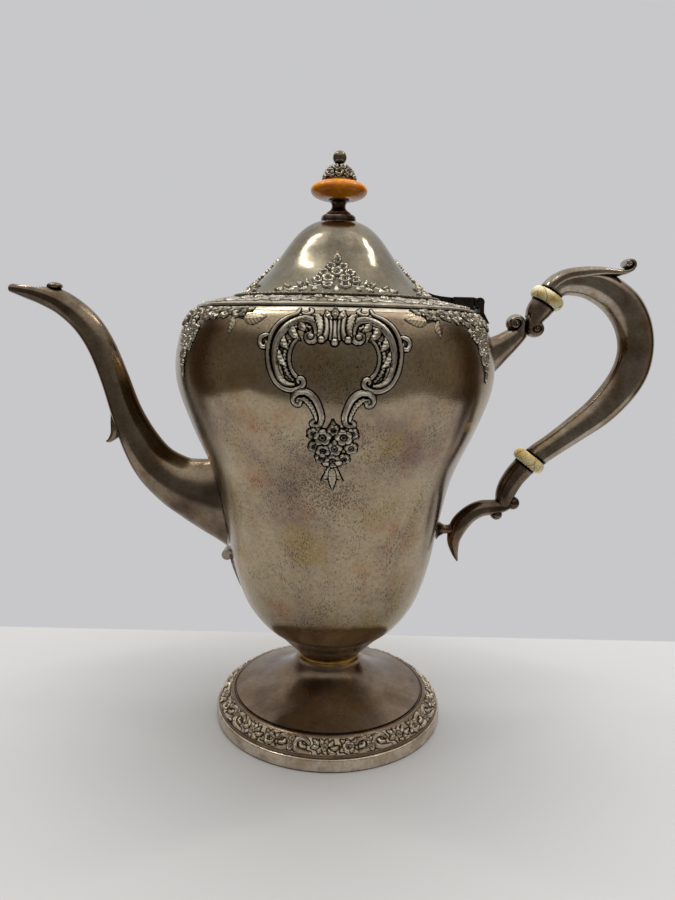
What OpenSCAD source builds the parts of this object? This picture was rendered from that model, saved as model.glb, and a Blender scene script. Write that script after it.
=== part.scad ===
// Silver coffee pot: inverted-pear body on a round foot, swan-neck spout, hinged
// ogee lid with an insulated finial, and a hollow scroll handle with two insulator rings.
// The origin is the centre of the foot's resting face. +Z is up, the spout points to -X
// and the handle to +X.

/* [Body] */
// Largest radius of the body
belly_r = 68.2; // [67:0.1:69]
// Thickness of the body's sheet
body_wall = 1.2; // [0.9:0.1:1.4]
// Radius of the pouring holes pierced behind the spout
strainer_r = 1.6; // [1:0.1:1.8]
// Spacing of the pouring holes
strainer_pitch = 5; // [4.6:0.1:6]

/* [Foot] */
// Radius of the foot at the table
foot_r = 51.8; // [51:0.1:53]
// Height of the plain wire rim
foot_rim_h = 5.6; // [4:0.1:5.8]
// Thickness of the foot's sheet
foot_wall = 1.1; // [0.8:0.1:1.4]

/* [Mouth and lid] */
// Radius of the mouth that the lid's skirt drops into
mouth_r = 54.2; // [54:0.1:54.6]
// Radius of the lid's rim
lid_rim_r = 59.3; // [59:0.1:59.4]
// Air gap between the closed lid and the mouth
lid_gap = 0.4; // [0.3:0.1:0.6]
// Thickness of the lid's sheet
lid_wall = 1; // [0.8:0.1:1.2]
// Depth of the skirt below the mouth
skirt_h = 7; // [5:0.5:9]

/* [Hinge] */
// Overall width of the hinge
hinge_w = 20; // [18:0.5:22]
// Radius of the knuckles
knuckle_r = 2; // [1.9:0.1:2.2]
// Radius of the hinge pin
hinge_pin_r = 0.9; // [0.7:0.05:1]
// Radial running clearance of the pin in the lid's knuckles
pin_play = 0.05; // [0.02:0.01:0.1]

/* [Finial] */
// Radius of the insulating disc
disc_r = 12; // [11:0.1:13]
// Radius of the threaded stud
stud_r = 1.5; // [1.4:0.1:1.6]
// Radius of the ball at the very top
ball_r = 2.9; // [2.6:0.1:3.2]

/* [Handle] */
// Radius of the insulator rings
ring_r = 7.6; // [7.2:0.1:8]
// Thickness of the insulator rings
ring_t = 5.3; // [4.8:0.1:5.6]
// Radius of the insulators' tenons
tenon_r = 2.6; // [2.2:0.1:2.7]
// Radius of the handle pins
handle_pin_r = 0.9; // [0.7:0.1:1]
// Sheet thickness of the hollow grip
grip_wall = 1.3; // [1.1:0.1:1.5]

/* [Spout] */
// Sheet thickness of the spout
spout_wall = 1.2; // [1:0.1:1.4]

/* [Hidden] */
$fn = 96;

eps = 0.01;                       // overshoot of a cutter past a face
steps = 4;                        // pieces of curve between two stations
neck_z = 31.6;                    // bottom of the body, top of the collar
foot_neck_z = 27.2;               // bottom of the collar, top of the foot
neck_r = 16.5;
collar_r = 14.7;
collar_bore_r = 11.5;
shell_top_z = 182;                // top edge of the body's sheet
mouth_z = 183.5;                  // top of the mouth ring
lid_z = mouth_z + lid_gap;        // underside of the lid's rim
dome_r = 42.4;                    // foot of the dome
dome_z = 188.6;
dome_top_z = 221.5;
dome_top_r = 7.3;
band_in_r = 44.2;                 // inner edge of the sloping band
band_in_z = 188.3;
seat_z = 187.6;                   // ledge that carries the dome and the beaded wire
top_z = 250;

hinge_x = 59.9;                   // hinge axis, along Y
hinge_z = 188.7;
knuckles = 5;
knuckle_gap = 0.3;
knuckle_w = (hinge_w - (knuckles - 1) * knuckle_gap) / knuckles;
knuckle_pitch = knuckle_w + knuckle_gap;
leaf_top_z = 190.7;               // top of the hinge's lid leaf

disc_z = 233.8;                   // middle of the insulating disc
disc_h = 7.4;
crown_z = disc_z + disc_h / 2;
stem_top_z = disc_z - disc_h / 2;
stud_hole_r = stud_r + 0.2;
stud_low_z = 215;
stud_top_z = 241.5;
nut_af = 5.5;                     // across the flats
nut_h = 2.4;
washer_h = 0.6;
washer_r = 5;

upper_ring = [90.6, 191.5];       // middle of each insulator ring, in X and Z
upper_tilt = 31.8;                // its axis, in degrees from +Z towards +X
lower_ring = [87.4, 120.5];
lower_tilt = 36.6;
tenon_l = 4;                      // length of a tenon past the ring
pin_at = ring_t / 2 + 2.2;        // place of a handle pin along the axis

// Outline of the body from the neck to the shoulder: radius as a part of the belly's, height.
BODY = [
    [neck_r / belly_r, neck_z], [0.345, 38.8], [0.462, 45.9], [0.571, 57], [0.65, 74],
    [0.698, 92], [0.772, 114], [0.898, 134], [0.982, 150], [1, 161], [0.974, 172],
    [0.934, 178.6], [0.895, shell_top_z]
];
// Outline of the foot's cone, from the collar down to the border.
FOOT = [
    [collar_r, foot_neck_z], [15.6, 24.6], [18.4, 21.6], [24, 18.4], [32, 15.3], [42.8, 12.3]
];
// Outline of the lid's dome, from its foot to its top.
DOME = [
    [dome_r, dome_z], [40.3, 190.2], [36.8, 192.8], [32.9, 196.2], [28.9, 200.2],
    [25.1, 205], [21.5, 210], [17.7, 214.8], [13, 218.9], [dome_top_r, dome_top_z]
];
// Stations of the spout from inside the body to the tip: X, Z, half height, half width.
SPOUT = [
    [-44, 100.5, 23, 11.5], [-53, 101.8, 18.2, 10.6], [-61.8, 104.2, 14.6, 9.8],
    [-70.2, 107.9, 12.1, 9], [-79.2, 115, 10.1, 8.2], [-86, 125.1, 8.5, 7.5],
    [-91.7, 138, 6.9, 6.8], [-96.6, 152.8, 6.2, 6.3], [-102, 166.6, 6, 6],
    [-108.5, 176.7, 5.8, 5.8], [-117.2, 184.2, 5.3, 5.6], [-126, 188.2, 4.6, 5.4],
    [-134, 190, 3.4, 4.9], [-140.4, 190.8, 1.8, 3]
];
// Stations of the grip from the upper to the lower insulator.
GRIP = [
    [91.2, 192.4, 5.2, 5.2], [93.6, 196, 5.2, 5.3], [98, 198.2, 5.4, 5.5],
    [104.9, 198.5, 6.1, 6], [111.4, 197.3, 7, 6.6], [117.9, 193.8, 7.3, 7],
    [123.6, 189, 7.8, 7.2], [127.6, 183, 7.8, 7.3], [130, 176, 7.7, 7.3],
    [130.5, 168.4, 7.6, 7.3], [128.8, 160.4, 7.7, 7.2], [124.5, 152.5, 7.4, 7],
    [116.7, 143.2, 6.7, 6.6], [106.8, 135, 5.8, 6], [97.8, 128, 5.2, 5.4],
    [91, 122.9, 5.2, 5.2], [87.8, 119.6, 5.2, 5.2]
];
// Strip that lies on the grip and curls up into the thumb scroll.
THUMB = [
    [103, 203.6, 0.9, 3], [110, 203.9, 1.1, 4.4], [117, 203.6, 1.2, 4.6],
    [122.6, 203, 1.2, 4.6], [126.2, 204.6, 1.1, 4.5], [126, 207.6, 1, 4.4]
];
// Stations of the sockets' cast arms.
UPPER_NECK = [
    [91, 192.2, 5.5, 5.5], [89.2, 189.2, 5.5, 5.5], [86.7, 185.3, 5, 5.1],
    [85.4, 181.2, 4.4, 4.7], [85.6, 177.6, 3.4, 4.2]
];
UPPER_ARM = [
    [60, 166.2, 9, 5.6], [68, 168, 7.4, 5.4], [74.2, 171.4, 5.2, 5], [79.6, 176, 4.4, 4.6],
    [81.6, 181.6, 3.6, 4.4]
];
LOWER_NECK = [
    [87.2, 120.3, 5, 5], [85.8, 118.4, 5, 5], [81.2, 112.6, 4.8, 4.8],
    [78.2, 106.6, 4.5, 4.5], [77.2, 100.4, 3.8, 4]
];
LOWER_ARM = [
    [77.8, 99.8, 2.9, 3.6], [72.6, 98.7, 3.5, 3.9], [67, 97.9, 3.8, 4.1],
    [61.8, 94.9, 4, 4.3], [57.6, 89.8, 4.1, 4.4], [55.6, 83.4, 3.1, 3.5],
    [56.3, 77.4, 1.7, 2.1], [57.7, 73.2, 0.4, 0.5]
];

// Catmull-Rom blend of four neighbouring stations.
function blend(a, b, c, d, t) =
    0.5 * (2 * b + (c - a) * t + (2 * a - 5 * b + 4 * c - d) * t * t
    + (3 * b - a - 3 * c + d) * t * t * t);

// Smooth curve through the stations p, with n pieces between two of them.
function curve(p, n = steps) = concat(
    [
        for (i = [0:len(p) - 2])
            for (k = [0:n - 1])
                blend(p[max(i - 1, 0)], p[i], p[i + 1], p[min(i + 2, len(p) - 1)], k / n)
    ],
    [p[len(p) - 1]]
);

// Direction of the outline p at its point i.
function along(p, i) =
    let (d = p[min(i + 1, len(p) - 1)] - p[max(i - 1, 0)]) d / norm(d);

// The outline p moved to its left by w. An outline that climbs moves towards the axis.
function inside(p, w) =
    [for (i = [0:len(p) - 1]) let (d = along(p, i)) p[i] + w * [-d[1], d[0]]];

function reverse(p) = [for (i = [len(p) - 1:-1:0]) p[i]];

body_line = curve([for (s = BODY) [s[0] * belly_r, s[1]]]);
foot_line = curve(FOOT);
dome_line = curve(DOME);
shell_top_r = body_line[len(body_line) - 1][0];
band_slope = (band_in_z - lid_z - 1) / (lid_rim_r - band_in_r);
function band_top(r) = band_in_z - band_slope * (r - band_in_r);

// A ring of n points round a station, in the plane across the path.
function ring_points(s, d, n) =
    [
        for (k = [0:n - 1])
            let (a = 360 * k / n)
            [s[0] - d[1] * s[2] * cos(a), s[3] * sin(a), s[1] + d[0] * s[2] * cos(a)]
    ];

// Closed solid swept along stations of X, Z, half height and half width.
module sweep(stations, n = 24, thinner = 0) {
    s = [for (v = curve(stations)) v - [0, 0, thinner, thinner]];
    way = [for (v = s) [v[0], v[1]]];
    m = len(s);
    points = [for (i = [0:m - 1]) each ring_points(s[i], along(way, i), n)];
    sides = [
        for (i = [0:m - 2])
            for (k = [0:n - 1])
                let (a = i * n + k, b = i * n + (k + 1) % n)
                each [[a, b, b + n], [a, b + n, a + n]]
    ];
    start = [for (k = [n - 1:-1:0]) k];
    end = [for (k = [0:n - 1]) (m - 1) * n + k];
    polyhedron(points, concat(sides, [start, end]));
}

// Everything inside the body's outer face, grown outwards by the amount given.
module body_solid(grow = 0) {
    line = inside(body_line, -grow);
    rotate_extrude()
        polygon(concat(
            [[0, neck_z - grow]], line, [[lid_rim_r + 0.1 + grow, mouth_z], [0, mouth_z]]
        ));
}

// Everything under the outer face of the lid.
module lid_solid() {
    rotate_extrude()
        polygon(concat(
            [[0, lid_z], [lid_rim_r, lid_z], [lid_rim_r, band_top(lid_rim_r)]],
            [[band_in_r, band_in_z], [band_in_r, dome_z + 1], [dome_r, dome_z + 1]],
            [for (q = dome_line) if (q[1] > dome_z + 1) q],
            [[0, dome_top_z]]
        ));
}

// Round bar along Y, centred on the point at of X and Z.
module bar(at, r, w) {
    translate([at[0], 0, at[1]])
        rotate([90, 0, 0])
            cylinder(r = r, h = w, center = true);
}

// Puts its children in the frame of an insulator, whose +Z points into the grip.
module in_ring_frame(at, tilt) {
    translate([at[0], 0, at[1]])
        rotate([0, tilt, 0])
            children();
}

// Square end of a handle part, with its tenon hole and pin hole. Side is 1 for the grip.
module end_cut(at, tilt, side) {
    depth = 30;
    in_ring_frame(at, tilt)
        translate([0, 0, side * (ring_t / 2 - depth / 2)])
            cube([24, 24, depth], center = true);
    in_ring_frame(at, tilt)
        translate([0, 0, side * (ring_t / 2 + tenon_l / 2)])
            cylinder(r = tenon_r, h = tenon_l + 2 * eps, center = true);
    in_ring_frame(at, tilt)
        bar([0, side * pin_at], handle_pin_r, 24);
}

// Sharp-tipped shield: half width w at the top, over heights from low to high, run along X.
module shield(low, high, w, x0, x1) {
    middle = (low + 2 * high) / 3;
    right = curve([[0, low], [0.45 * w, (low + middle) / 2], [w, middle], [0.7 * w, high]]);
    translate([x0, 0, 0])
        rotate([90, 0, 90])
            linear_extrude(x1 - x0)
                polygon(concat(right, [for (q = reverse(right)) [-q[0], q[1]]]));
}

// ---- body ----

// Spun sheet with a flat bottom and the pouring holes behind the spout.
module body_shell() {
    inner = inside(body_line, body_wall);
    last = inner[len(inner) - 1];
    seat = [last[0] - 0.6, shell_top_z];
    color("darkkhaki")
        difference() {
            rotate_extrude()
                polygon(concat(
                    [[0, neck_z]], body_line, [seat], reverse(inner),
                    [[0, inner[0][1] + body_wall]]
                ));
            for (row = [-3:3])
                for (col = [-1:1])
                    let (y = (col + (row % 2 == 0 ? 0 : 0.5)) * strainer_pitch)
                    if (abs(y) < 6 && norm([row / 3.4, y / 7.4]) < 1)
                        translate([-60, y, 101 + row * 0.87 * strainer_pitch])
                            rotate([0, 90, 0])
                                cylinder(r = strainer_r, h = 22, $fn = 32);
        }
}

// Seat that stiffens the mouth and guides the lid's skirt.
module mouth_ring() {
    color("tan")
        rotate_extrude()
            polygon([
                [mouth_r, mouth_z - skirt_h], [mouth_r + 1, mouth_z - skirt_h],
                [mouth_r + 1.2, shell_top_z], [shell_top_r, shell_top_z],
                [lid_rim_r + 0.1, mouth_z], [mouth_r, mouth_z]
            ]);
}

// Hollow cove between the body and the foot.
module neck_collar() {
    cove = curve([[collar_r, foot_neck_z], [14.1, 28.6], [14.6, 30.2], [neck_r, neck_z]]);
    color("goldenrod")
        rotate_extrude()
            polygon(concat(cove, [[collar_bore_r, neck_z], [collar_bore_r, foot_neck_z]]));
}

// ---- foot ----

module foot_shell() {
    edge = foot_line[len(foot_line) - 1];
    under = [for (q = inside(foot_line, -foot_wall)) if (q[0] < edge[0] - 0.5) q];
    color("rosybrown")
        rotate_extrude()
            polygon(concat(
                foot_line, [[edge[0], edge[1] - foot_wall]], reverse(under),
                [[under[0][0], foot_neck_z]]
            ));
}

// Stamped strip that carries the relief, between the cone and the plain rim.
module foot_border() {
    r = FOOT[len(FOOT) - 1][0];
    lip = foot_r - 0.9;
    color("peru")
        rotate_extrude()
            polygon([
                [r, 10.6], [r, 11.6], [r + 0.6, 11.3], [r + 1.3, 11.9], [r + 2.2, 11.4],
                [lip - 0.3, foot_rim_h + 1.2], [lip, foot_rim_h], [foot_r - 2.4, foot_rim_h],
                [r + 1.6, 9.9]
            ]);
}

// Wire that the pot stands on.
module foot_rim() {
    color("sienna")
        rotate_extrude()
            polygon([
                [foot_r - 2.4, 0], [foot_r, 0], [foot_r, foot_rim_h - 0.6],
                [foot_r - 0.5, foot_rim_h], [foot_r - 2.4, foot_rim_h]
            ]);
}

// ---- spout ----

// Hollow swan neck whose mouth is cut open along the top of the tip.
module spout() {
    last = len(SPOUT) - 1;
    tip = SPOUT[last];
    channel = concat([[-38, 101, 22.5, 11.3]], [for (i = [1:last - 1]) SPOUT[i]]);
    color("darkgoldenrod")
        difference() {
            sweep(SPOUT);
            body_solid();
            sweep(channel, 24, spout_wall);
            translate([tip[0] - 4, -10, tip[1]])
                rotate([0, -2, 0])
                    cube([21, 20, 10]);
        }
}

// Small scroll and leaf under the spout, soldered to the body.
module spout_drop() {
    color("burlywood")
        difference() {
            union() {
                bar([-47.2, 74.6], 2.4, 7);
                intersection() {
                    body_solid(1.6);
                    mirror([1, 0, 0])
                        shield(58.6, 77, 4.2, 30, 50);
                }
            }
            body_solid();
        }
}

// ---- lid ----

// Spun ogee dome, drilled for the finial's stud.
module lid_dome() {
    inner = inside(dome_line, lid_wall);
    color("darkseagreen")
        difference() {
            rotate_extrude()
                polygon(concat(
                    [[dome_r, seat_z]], dome_line, [[0, dome_top_z]],
                    [[0, dome_top_z - lid_wall], [washer_r + 0.5, dome_top_z - lid_wall]],
                    [for (q = reverse(inner)) if (q[1] < dome_top_z - lid_wall) q],
                    [[dome_r - lid_wall - 0.5, seat_z]]
                ));
            cylinder(r = stud_hole_r, h = 2 * dome_top_z);
        }
}

// Sloping relief band between the dome and the rim.
module lid_band() {
    color("olive")
        rotate_extrude()
            polygon([
                [band_in_r, band_in_z], [band_in_r, band_in_z - lid_wall],
                [lid_rim_r - 1.2, lid_z], [lid_rim_r, lid_z],
                [lid_rim_r, band_top(lid_rim_r)]
            ]);
}

// Beaded wire at the foot of the dome.
module lid_bead() {
    r = (band_in_r - dome_r) / 2;
    color("khaki")
        rotate_extrude()
            translate([dome_r + r, 0, 0])
                intersection() {
                    translate([0, dome_z])
                        circle(r = r, $fn = 24);
                    translate([-r, seat_z])
                        square([2 * r, 2 * r]);
                }
}

// Ring under the lid that carries the dome, and its skirt inside the mouth.
module lid_flange() {
    skirt_r = mouth_r - 1;
    t = 0.9;
    under = band_in_z - lid_wall;
    slope = (under - lid_z) / (lid_rim_r - 1.2 - band_in_r);
    color("steelblue")
        rotate_extrude()
            polygon([
                [dome_r - 1.6, seat_z], [band_in_r, seat_z], [band_in_r, under],
                [skirt_r, under - slope * (skirt_r - band_in_r)],
                [skirt_r, mouth_z - skirt_h + 1], [skirt_r - t, mouth_z - skirt_h],
                [skirt_r - t, under - slope * (skirt_r - band_in_r) - t],
                [band_in_r, under - t], [dome_r - 1.6, seat_z - t]
            ]);
}

// ---- finial ----

// Turned stem that holds the disc off the lid.
module finial_stem() {
    side = curve([
        [7.3, dome_top_z], [6.9, 222.5], [5.8, 223.4], [3.9, 224.8], [2.9, 227],
        [3.4, 228.8], [4.6, stem_top_z]
    ]);
    color("silver")
        difference() {
            rotate_extrude()
                polygon(concat([[0, dome_top_z]], side, [[0, stem_top_z]]));
            cylinder(r = stud_hole_r, h = top_z);
        }
}

// Insulating disc, turned like a lens with a soft edge.
module finial_disc() {
    edge = [
        for (a = [-90:10:90])
            [disc_r / 2 * (1 + pow(cos(a), 1.1)), disc_z + disc_h / 2 * sin(a)]
    ];
    color("orange")
        difference() {
            rotate_extrude()
                polygon(concat([[0, stem_top_z]], edge, [[0, crown_z]]));
            translate([0, 0, stem_top_z - 1])
                cylinder(r = stud_hole_r, h = disc_h + 2);
        }
}

// Leaf cap and ball, tapped from below for the stud.
module finial_crown() {
    ball_z = top_z - ball_r;
    neck_top = asin(1.4 / ball_r);
    cap = curve([[7.1, crown_z], [6.6, 239.4], [5.4, 241.2], [4.3, 243], [2.4, 243.9]]);
    ball = [
        for (i = [0:12])
            let (a = neck_top + i * (180 - neck_top) / 12)
            [ball_r * sin(a), ball_z - ball_r * cos(a)]
    ];
    color("gainsboro")
        difference() {
            rotate_extrude()
                polygon(concat([[0, crown_z]], cap, [for (q = ball) [max(q[0], 0), q[1]]]));
            translate([0, 0, crown_z - 1])
                cylinder(r = stud_r, h = stud_top_z - crown_z + 1);
        }
}

module finial_stud() {
    color("dimgray")
        translate([0, 0, stud_low_z])
            cylinder(r = stud_r, h = stud_top_z - stud_low_z);
}

module finial_washer() {
    color("gray")
        translate([0, 0, dome_top_z - lid_wall - washer_h])
            difference() {
                cylinder(r = washer_r, h = washer_h);
                translate([0, 0, -1])
                    cylinder(r = stud_hole_r, h = washer_h + 2);
            }
}

module finial_nut() {
    color("slategray")
        translate([0, 0, dome_top_z - lid_wall - washer_h - nut_h])
            difference() {
                cylinder(r = nut_af / 2 / cos(30), h = nut_h, $fn = 6);
                translate([0, 0, -1])
                    cylinder(r = stud_r, h = nut_h + 2);
            }
}

// ---- hinge ----

// Places its children at every knuckle with the parity given: 0 for the body, 1 for the lid.
module at_knuckles(parity) {
    for (i = [0:knuckles - 1])
        if (i % 2 == parity)
            translate([hinge_x, (i - (knuckles - 1) / 2) * knuckle_pitch, hinge_z])
                rotate([90, 0, 0])
                    children();
}

// Plate soldered to the lid, with a tongue up the dome and its knuckles.
module lid_hinge_leaf() {
    back_x = hinge_x - knuckle_r - 0.4;
    front_x = 49;
    tongue = [
        [38.6, lid_z], [38.6, 192.7], [41.5, 191.7], [44.5, 191.2], [front_x + 1, leaf_top_z],
        [front_x + 1, lid_z]
    ];
    color("darkslategray")
        difference() {
            union() {
                translate([front_x, -hinge_w / 2, lid_z])
                    cube([back_x - front_x, hinge_w, leaf_top_z - lid_z]);
                rotate([90, 0, 0])
                    linear_extrude(8, center = true)
                        polygon(tongue);
                at_knuckles(1)
                    cylinder(r = knuckle_r, h = knuckle_w, center = true);
                at_knuckles(1)
                    translate([back_x - hinge_x - 1, -1, -knuckle_w / 2])
                        cube([hinge_x - back_x + 1, 1 + knuckle_r, knuckle_w]);
            }
            lid_solid();
            bar([hinge_x, hinge_z], hinge_pin_r + pin_play, hinge_w + 2);
        }
}

// Strap soldered to the shoulder, with its knuckles.
module body_hinge_leaf() {
    inner_x = lid_rim_r + 0.8;
    low_z = hinge_z - knuckle_r - 0.6;
    strap = [
        [inner_x, low_z], [inner_x + 1.7, low_z], [61.9, 184.4], [64.4, 180], [60, 180],
        [58, mouth_z], [inner_x, mouth_z]
    ];
    color("cadetblue")
        difference() {
            union() {
                rotate([90, 0, 0])
                    linear_extrude(hinge_w, center = true)
                        polygon(strap);
                at_knuckles(0)
                    cylinder(r = knuckle_r, h = knuckle_w, center = true);
                at_knuckles(0)
                    translate([inner_x - hinge_x, low_z - hinge_z - eps, -knuckle_w / 2])
                        cube([1.7, hinge_z - low_z, knuckle_w]);
            }
            body_solid();
            bar([hinge_x, hinge_z], hinge_pin_r, hinge_w + 2);
        }
}

module hinge_pin() {
    color("dimgray")
        bar([hinge_x, hinge_z], hinge_pin_r, hinge_w + 0.8);
}

// ---- handle ----

// Cast double scroll between the shoulder and the upper insulator.
module upper_socket() {
    color("thistle")
        difference() {
            union() {
                sweep(UPPER_NECK, 20);
                sweep(UPPER_ARM, 20);
                bar([77.9, 180.9], 4.4, 9);
                bar([88, 179.2], 4.4, 9);
                intersection() {
                    body_solid(1.6);
                    shield(152, 177, 6, 55, 75);
                }
            }
            body_solid();
            end_cut(upper_ring, upper_tilt, -1);
        }
}

// Cast horn and arched leaf between the lower insulator and the body.
module lower_socket() {
    color("plum")
        difference() {
            union() {
                sweep(LOWER_NECK, 20);
                sweep(LOWER_ARM, 20);
                bar([81.2, 100.9], 2.7, 6.4);
                bar([74.2, 95.4], 2.7, 6.8);
                translate([44, 0, 88])
                    rotate([0, 90, 0])
                        cylinder(r = 2.2, h = 12);
                intersection() {
                    body_solid(1.1);
                    union() {
                        shield(81, 88, 3.4, 40, 55);
                        translate([0, 0, 176])
                            mirror([0, 0, 1])
                                shield(82, 88, 3.4, 40, 55);
                    }
                }
            }
            body_solid();
            end_cut(lower_ring, lower_tilt, -1);
        }
}

// Ring with a full edge and a tenon on each side, drilled for its two pins.
module insulator(at, tilt) {
    half = ring_t / 2;
    soft = 2;
    in_ring_frame(at, tilt)
        difference() {
            union() {
                rotate_extrude()
                    polygon(concat(
                        [[0, -half]],
                        [
                            for (a = [-90:15:90])
                                [ring_r - soft + soft * cos(a), half * sin(a)]
                        ],
                        [[0, half]]
                    ));
                cylinder(r = tenon_r, h = ring_t + 2 * tenon_l, center = true);
            }
            for (side = [-1, 1])
                bar([0, side * pin_at], handle_pin_r, 2 * tenon_r + 2);
        }
}

module upper_insulator() {
    color("ivory")
        insulator(upper_ring, upper_tilt);
}

module lower_insulator() {
    color("lemonchiffon")
        insulator(lower_ring, lower_tilt);
}

// Hollow scroll grip with the thumb leaf on its top.
module grip() {
    last = len(GRIP) - 1;
    hollow = concat(
        [[94.4, 196.5, 5.2, 5.3]],
        [for (i = [2:last - 2]) GRIP[i]],
        [[93.2, 124.6, 4.9, 5.1]]
    );
    color("lightsteelblue")
        difference() {
            union() {
                sweep(GRIP);
                sweep(THUMB, 16);
                bar([123.9, 206.2], 2.9, 8.8);
            }
            sweep(hollow, 20, grip_wall);
            end_cut(upper_ring, upper_tilt, 1);
            end_cut(lower_ring, lower_tilt, 1);
        }
}

// Cross pins that hold the insulators' tenons.
module handle_pins() {
    color("whitesmoke")
        for (side = [-1, 1]) {
            in_ring_frame(upper_ring, upper_tilt)
                bar([0, side * pin_at], handle_pin_r, 10.8);
            in_ring_frame(lower_ring, lower_tilt)
                bar([0, side * pin_at], handle_pin_r, 10.4);
        }
}

body_shell();
mouth_ring();
neck_collar();
foot_shell();
foot_border();
foot_rim();
spout();
spout_drop();
lid_dome();
lid_band();
lid_bead();
lid_flange();
finial_stem();
finial_disc();
finial_crown();
finial_stud();
finial_washer();
finial_nut();
lid_hinge_leaf();
body_hinge_leaf();
hinge_pin();
upper_socket();
lower_socket();
upper_insulator();
lower_insulator();
grip();
handle_pins();
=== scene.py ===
"""Looks of a tarnished silver coffee pot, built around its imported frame.

Lengths are in millimetres until a mesh is made. +Z is up, the spout points to -X, the
handle to +X, and the chased panel on the front faces -Y.
"""

import sys

import logging
import math
from dataclasses import dataclass
from enum import Enum

import bpy
import numpy as np
from mathutils import Matrix

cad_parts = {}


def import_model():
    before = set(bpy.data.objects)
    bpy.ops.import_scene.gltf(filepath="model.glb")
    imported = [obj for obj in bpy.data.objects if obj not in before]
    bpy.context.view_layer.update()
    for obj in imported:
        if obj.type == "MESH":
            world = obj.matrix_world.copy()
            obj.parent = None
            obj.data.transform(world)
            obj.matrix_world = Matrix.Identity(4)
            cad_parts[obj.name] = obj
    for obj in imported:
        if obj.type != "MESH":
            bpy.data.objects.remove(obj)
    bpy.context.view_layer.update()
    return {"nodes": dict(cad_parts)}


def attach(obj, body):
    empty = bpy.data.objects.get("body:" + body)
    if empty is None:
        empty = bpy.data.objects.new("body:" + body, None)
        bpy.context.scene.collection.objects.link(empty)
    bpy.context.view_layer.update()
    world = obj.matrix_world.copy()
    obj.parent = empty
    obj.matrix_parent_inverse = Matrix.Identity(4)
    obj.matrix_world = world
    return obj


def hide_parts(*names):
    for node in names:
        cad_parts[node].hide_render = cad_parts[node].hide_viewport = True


MM = 0.001
LOG = logging.getLogger("coffee_pot")
Array = np.ndarray
Points = tuple[tuple[float, ...], ...]
BOTH = (1, -1)


class Body(Enum):
    """The two rigid bodies of the frame."""

    POT = "pot"
    LID = "lid"


# ---------------------------------------------------------------- curves and meshes


def blend_curve(stations: Points | Array, pieces: int) -> Array:
    """Smooth curve through stations of any width.

    Each span is the Catmull-Rom cubic of its four neighbours: half of
    2b + (c-a)t + (2a-5b+4c-d)t^2 + (3b-a-3c+d)t^3.

    Args:
        stations: rows of numbers that the curve passes through.
        pieces: steps between two stations.

    Returns:
        Rows of the same width, ending in the last station.
    """
    p = np.asarray(stations, float)
    padded = np.vstack([p[:1], p, p[-1:]])
    t = np.arange(pieces)[None, :, None] / pieces
    a, b, c, d = (padded[k : len(p) - 1 + k][:, None, :] for k in range(4))
    span = 2 * b + (c - a) * t + (2 * a - 5 * b + 4 * c - d) * t**2 + (3 * b - a - 3 * c + d) * t**3
    return np.vstack([span.reshape(-1, p.shape[1]) / 2, p[-1:]])


def arc_length(line: Array) -> Array:
    """Distance along a line of points, from its first point."""
    return np.concatenate([[0.0], np.cumsum(np.hypot(*np.diff(line[:, :2], axis=0).T))])


def even_steps(line: Array, step: float) -> Array:
    """The same line with its points the given distance apart.

    Args:
        line: rows whose first two numbers are a place.
        step: distance wanted between two points.

    Returns:
        The rows resampled along the arc length.
    """
    s = arc_length(line)
    at = np.linspace(0, s[-1], max(2, int(round(s[-1] / step)) + 1))
    return np.stack([np.interp(at, s, column) for column in line.T], axis=1)


def directions(line: Array) -> Array:
    """Unit direction of a line at each point, from its two neighbours."""
    d = np.gradient(line[:, :2], axis=0)
    return d / np.maximum(np.hypot(d[:, 0], d[:, 1]), 1e-9)[:, None]


def left_of(line: Array) -> Array:
    """Unit normal on the left of a line, at each point."""
    d = directions(line)
    return np.stack([-d[:, 1], d[:, 0]], axis=1)


def grid_faces(rows: int, columns: int, wrap_rows: bool, wrap_columns: bool) -> Array:
    """Quads of a grid of vertices numbered row by row.

    Args:
        rows: vertices across.
        columns: vertices along a row.
        wrap_rows: the last row joins the first.
        wrap_columns: the last column joins the first.

    Returns:
        One row of four vertex numbers for each quad.
    """
    i = np.arange(rows if wrap_rows else rows - 1)[:, None]
    k = np.arange(columns if wrap_columns else columns - 1)[None, :]
    i2, k2 = (i + 1) % rows, (k + 1) % columns
    corners = [i * columns + k, i * columns + k2, i2 * columns + k2, i2 * columns + k]
    return np.stack([c.ravel() for c in corners], axis=1)


def fan(ring: Array, centre: int) -> Array:
    """Triangles from each edge of a closed ring to a centre vertex."""
    return np.stack([ring, np.roll(ring, -1), np.full(len(ring), centre)], axis=1)


@dataclass
class Shape:
    """Vertices in millimetres, faces, and named numbers for each vertex."""

    verts: Array
    quads: Array
    tris: Array
    marks: dict[str, Array]

    def flipped(self) -> "Shape":
        """The same shape with its faces turned over."""
        return Shape(self.verts, self.quads[:, ::-1], self.tris[:, ::-1], self.marks)

    def volume(self) -> float:
        """Signed volume, which is positive where faces point outwards."""
        q, t = self.quads, self.tris
        faces = np.vstack([q[:, :3], q[:, [0, 2, 3]], t])
        a, b, c = (self.verts[faces[:, k]] for k in range(3))
        return float(np.einsum("ij,ij->i", a, np.cross(b, c)).sum() / 6)

    def outward(self) -> "Shape":
        """The same shape with its faces outwards."""
        return self if self.volume() > 0 else self.flipped()

    def darken(self, mark: Array) -> None:
        """Darkens the vertices by a mark from 0 to 1, where they aren't darker already."""
        self.marks["hollow"] = np.maximum(self.marks.get("hollow", np.zeros(len(self.verts))), mark)


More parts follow.
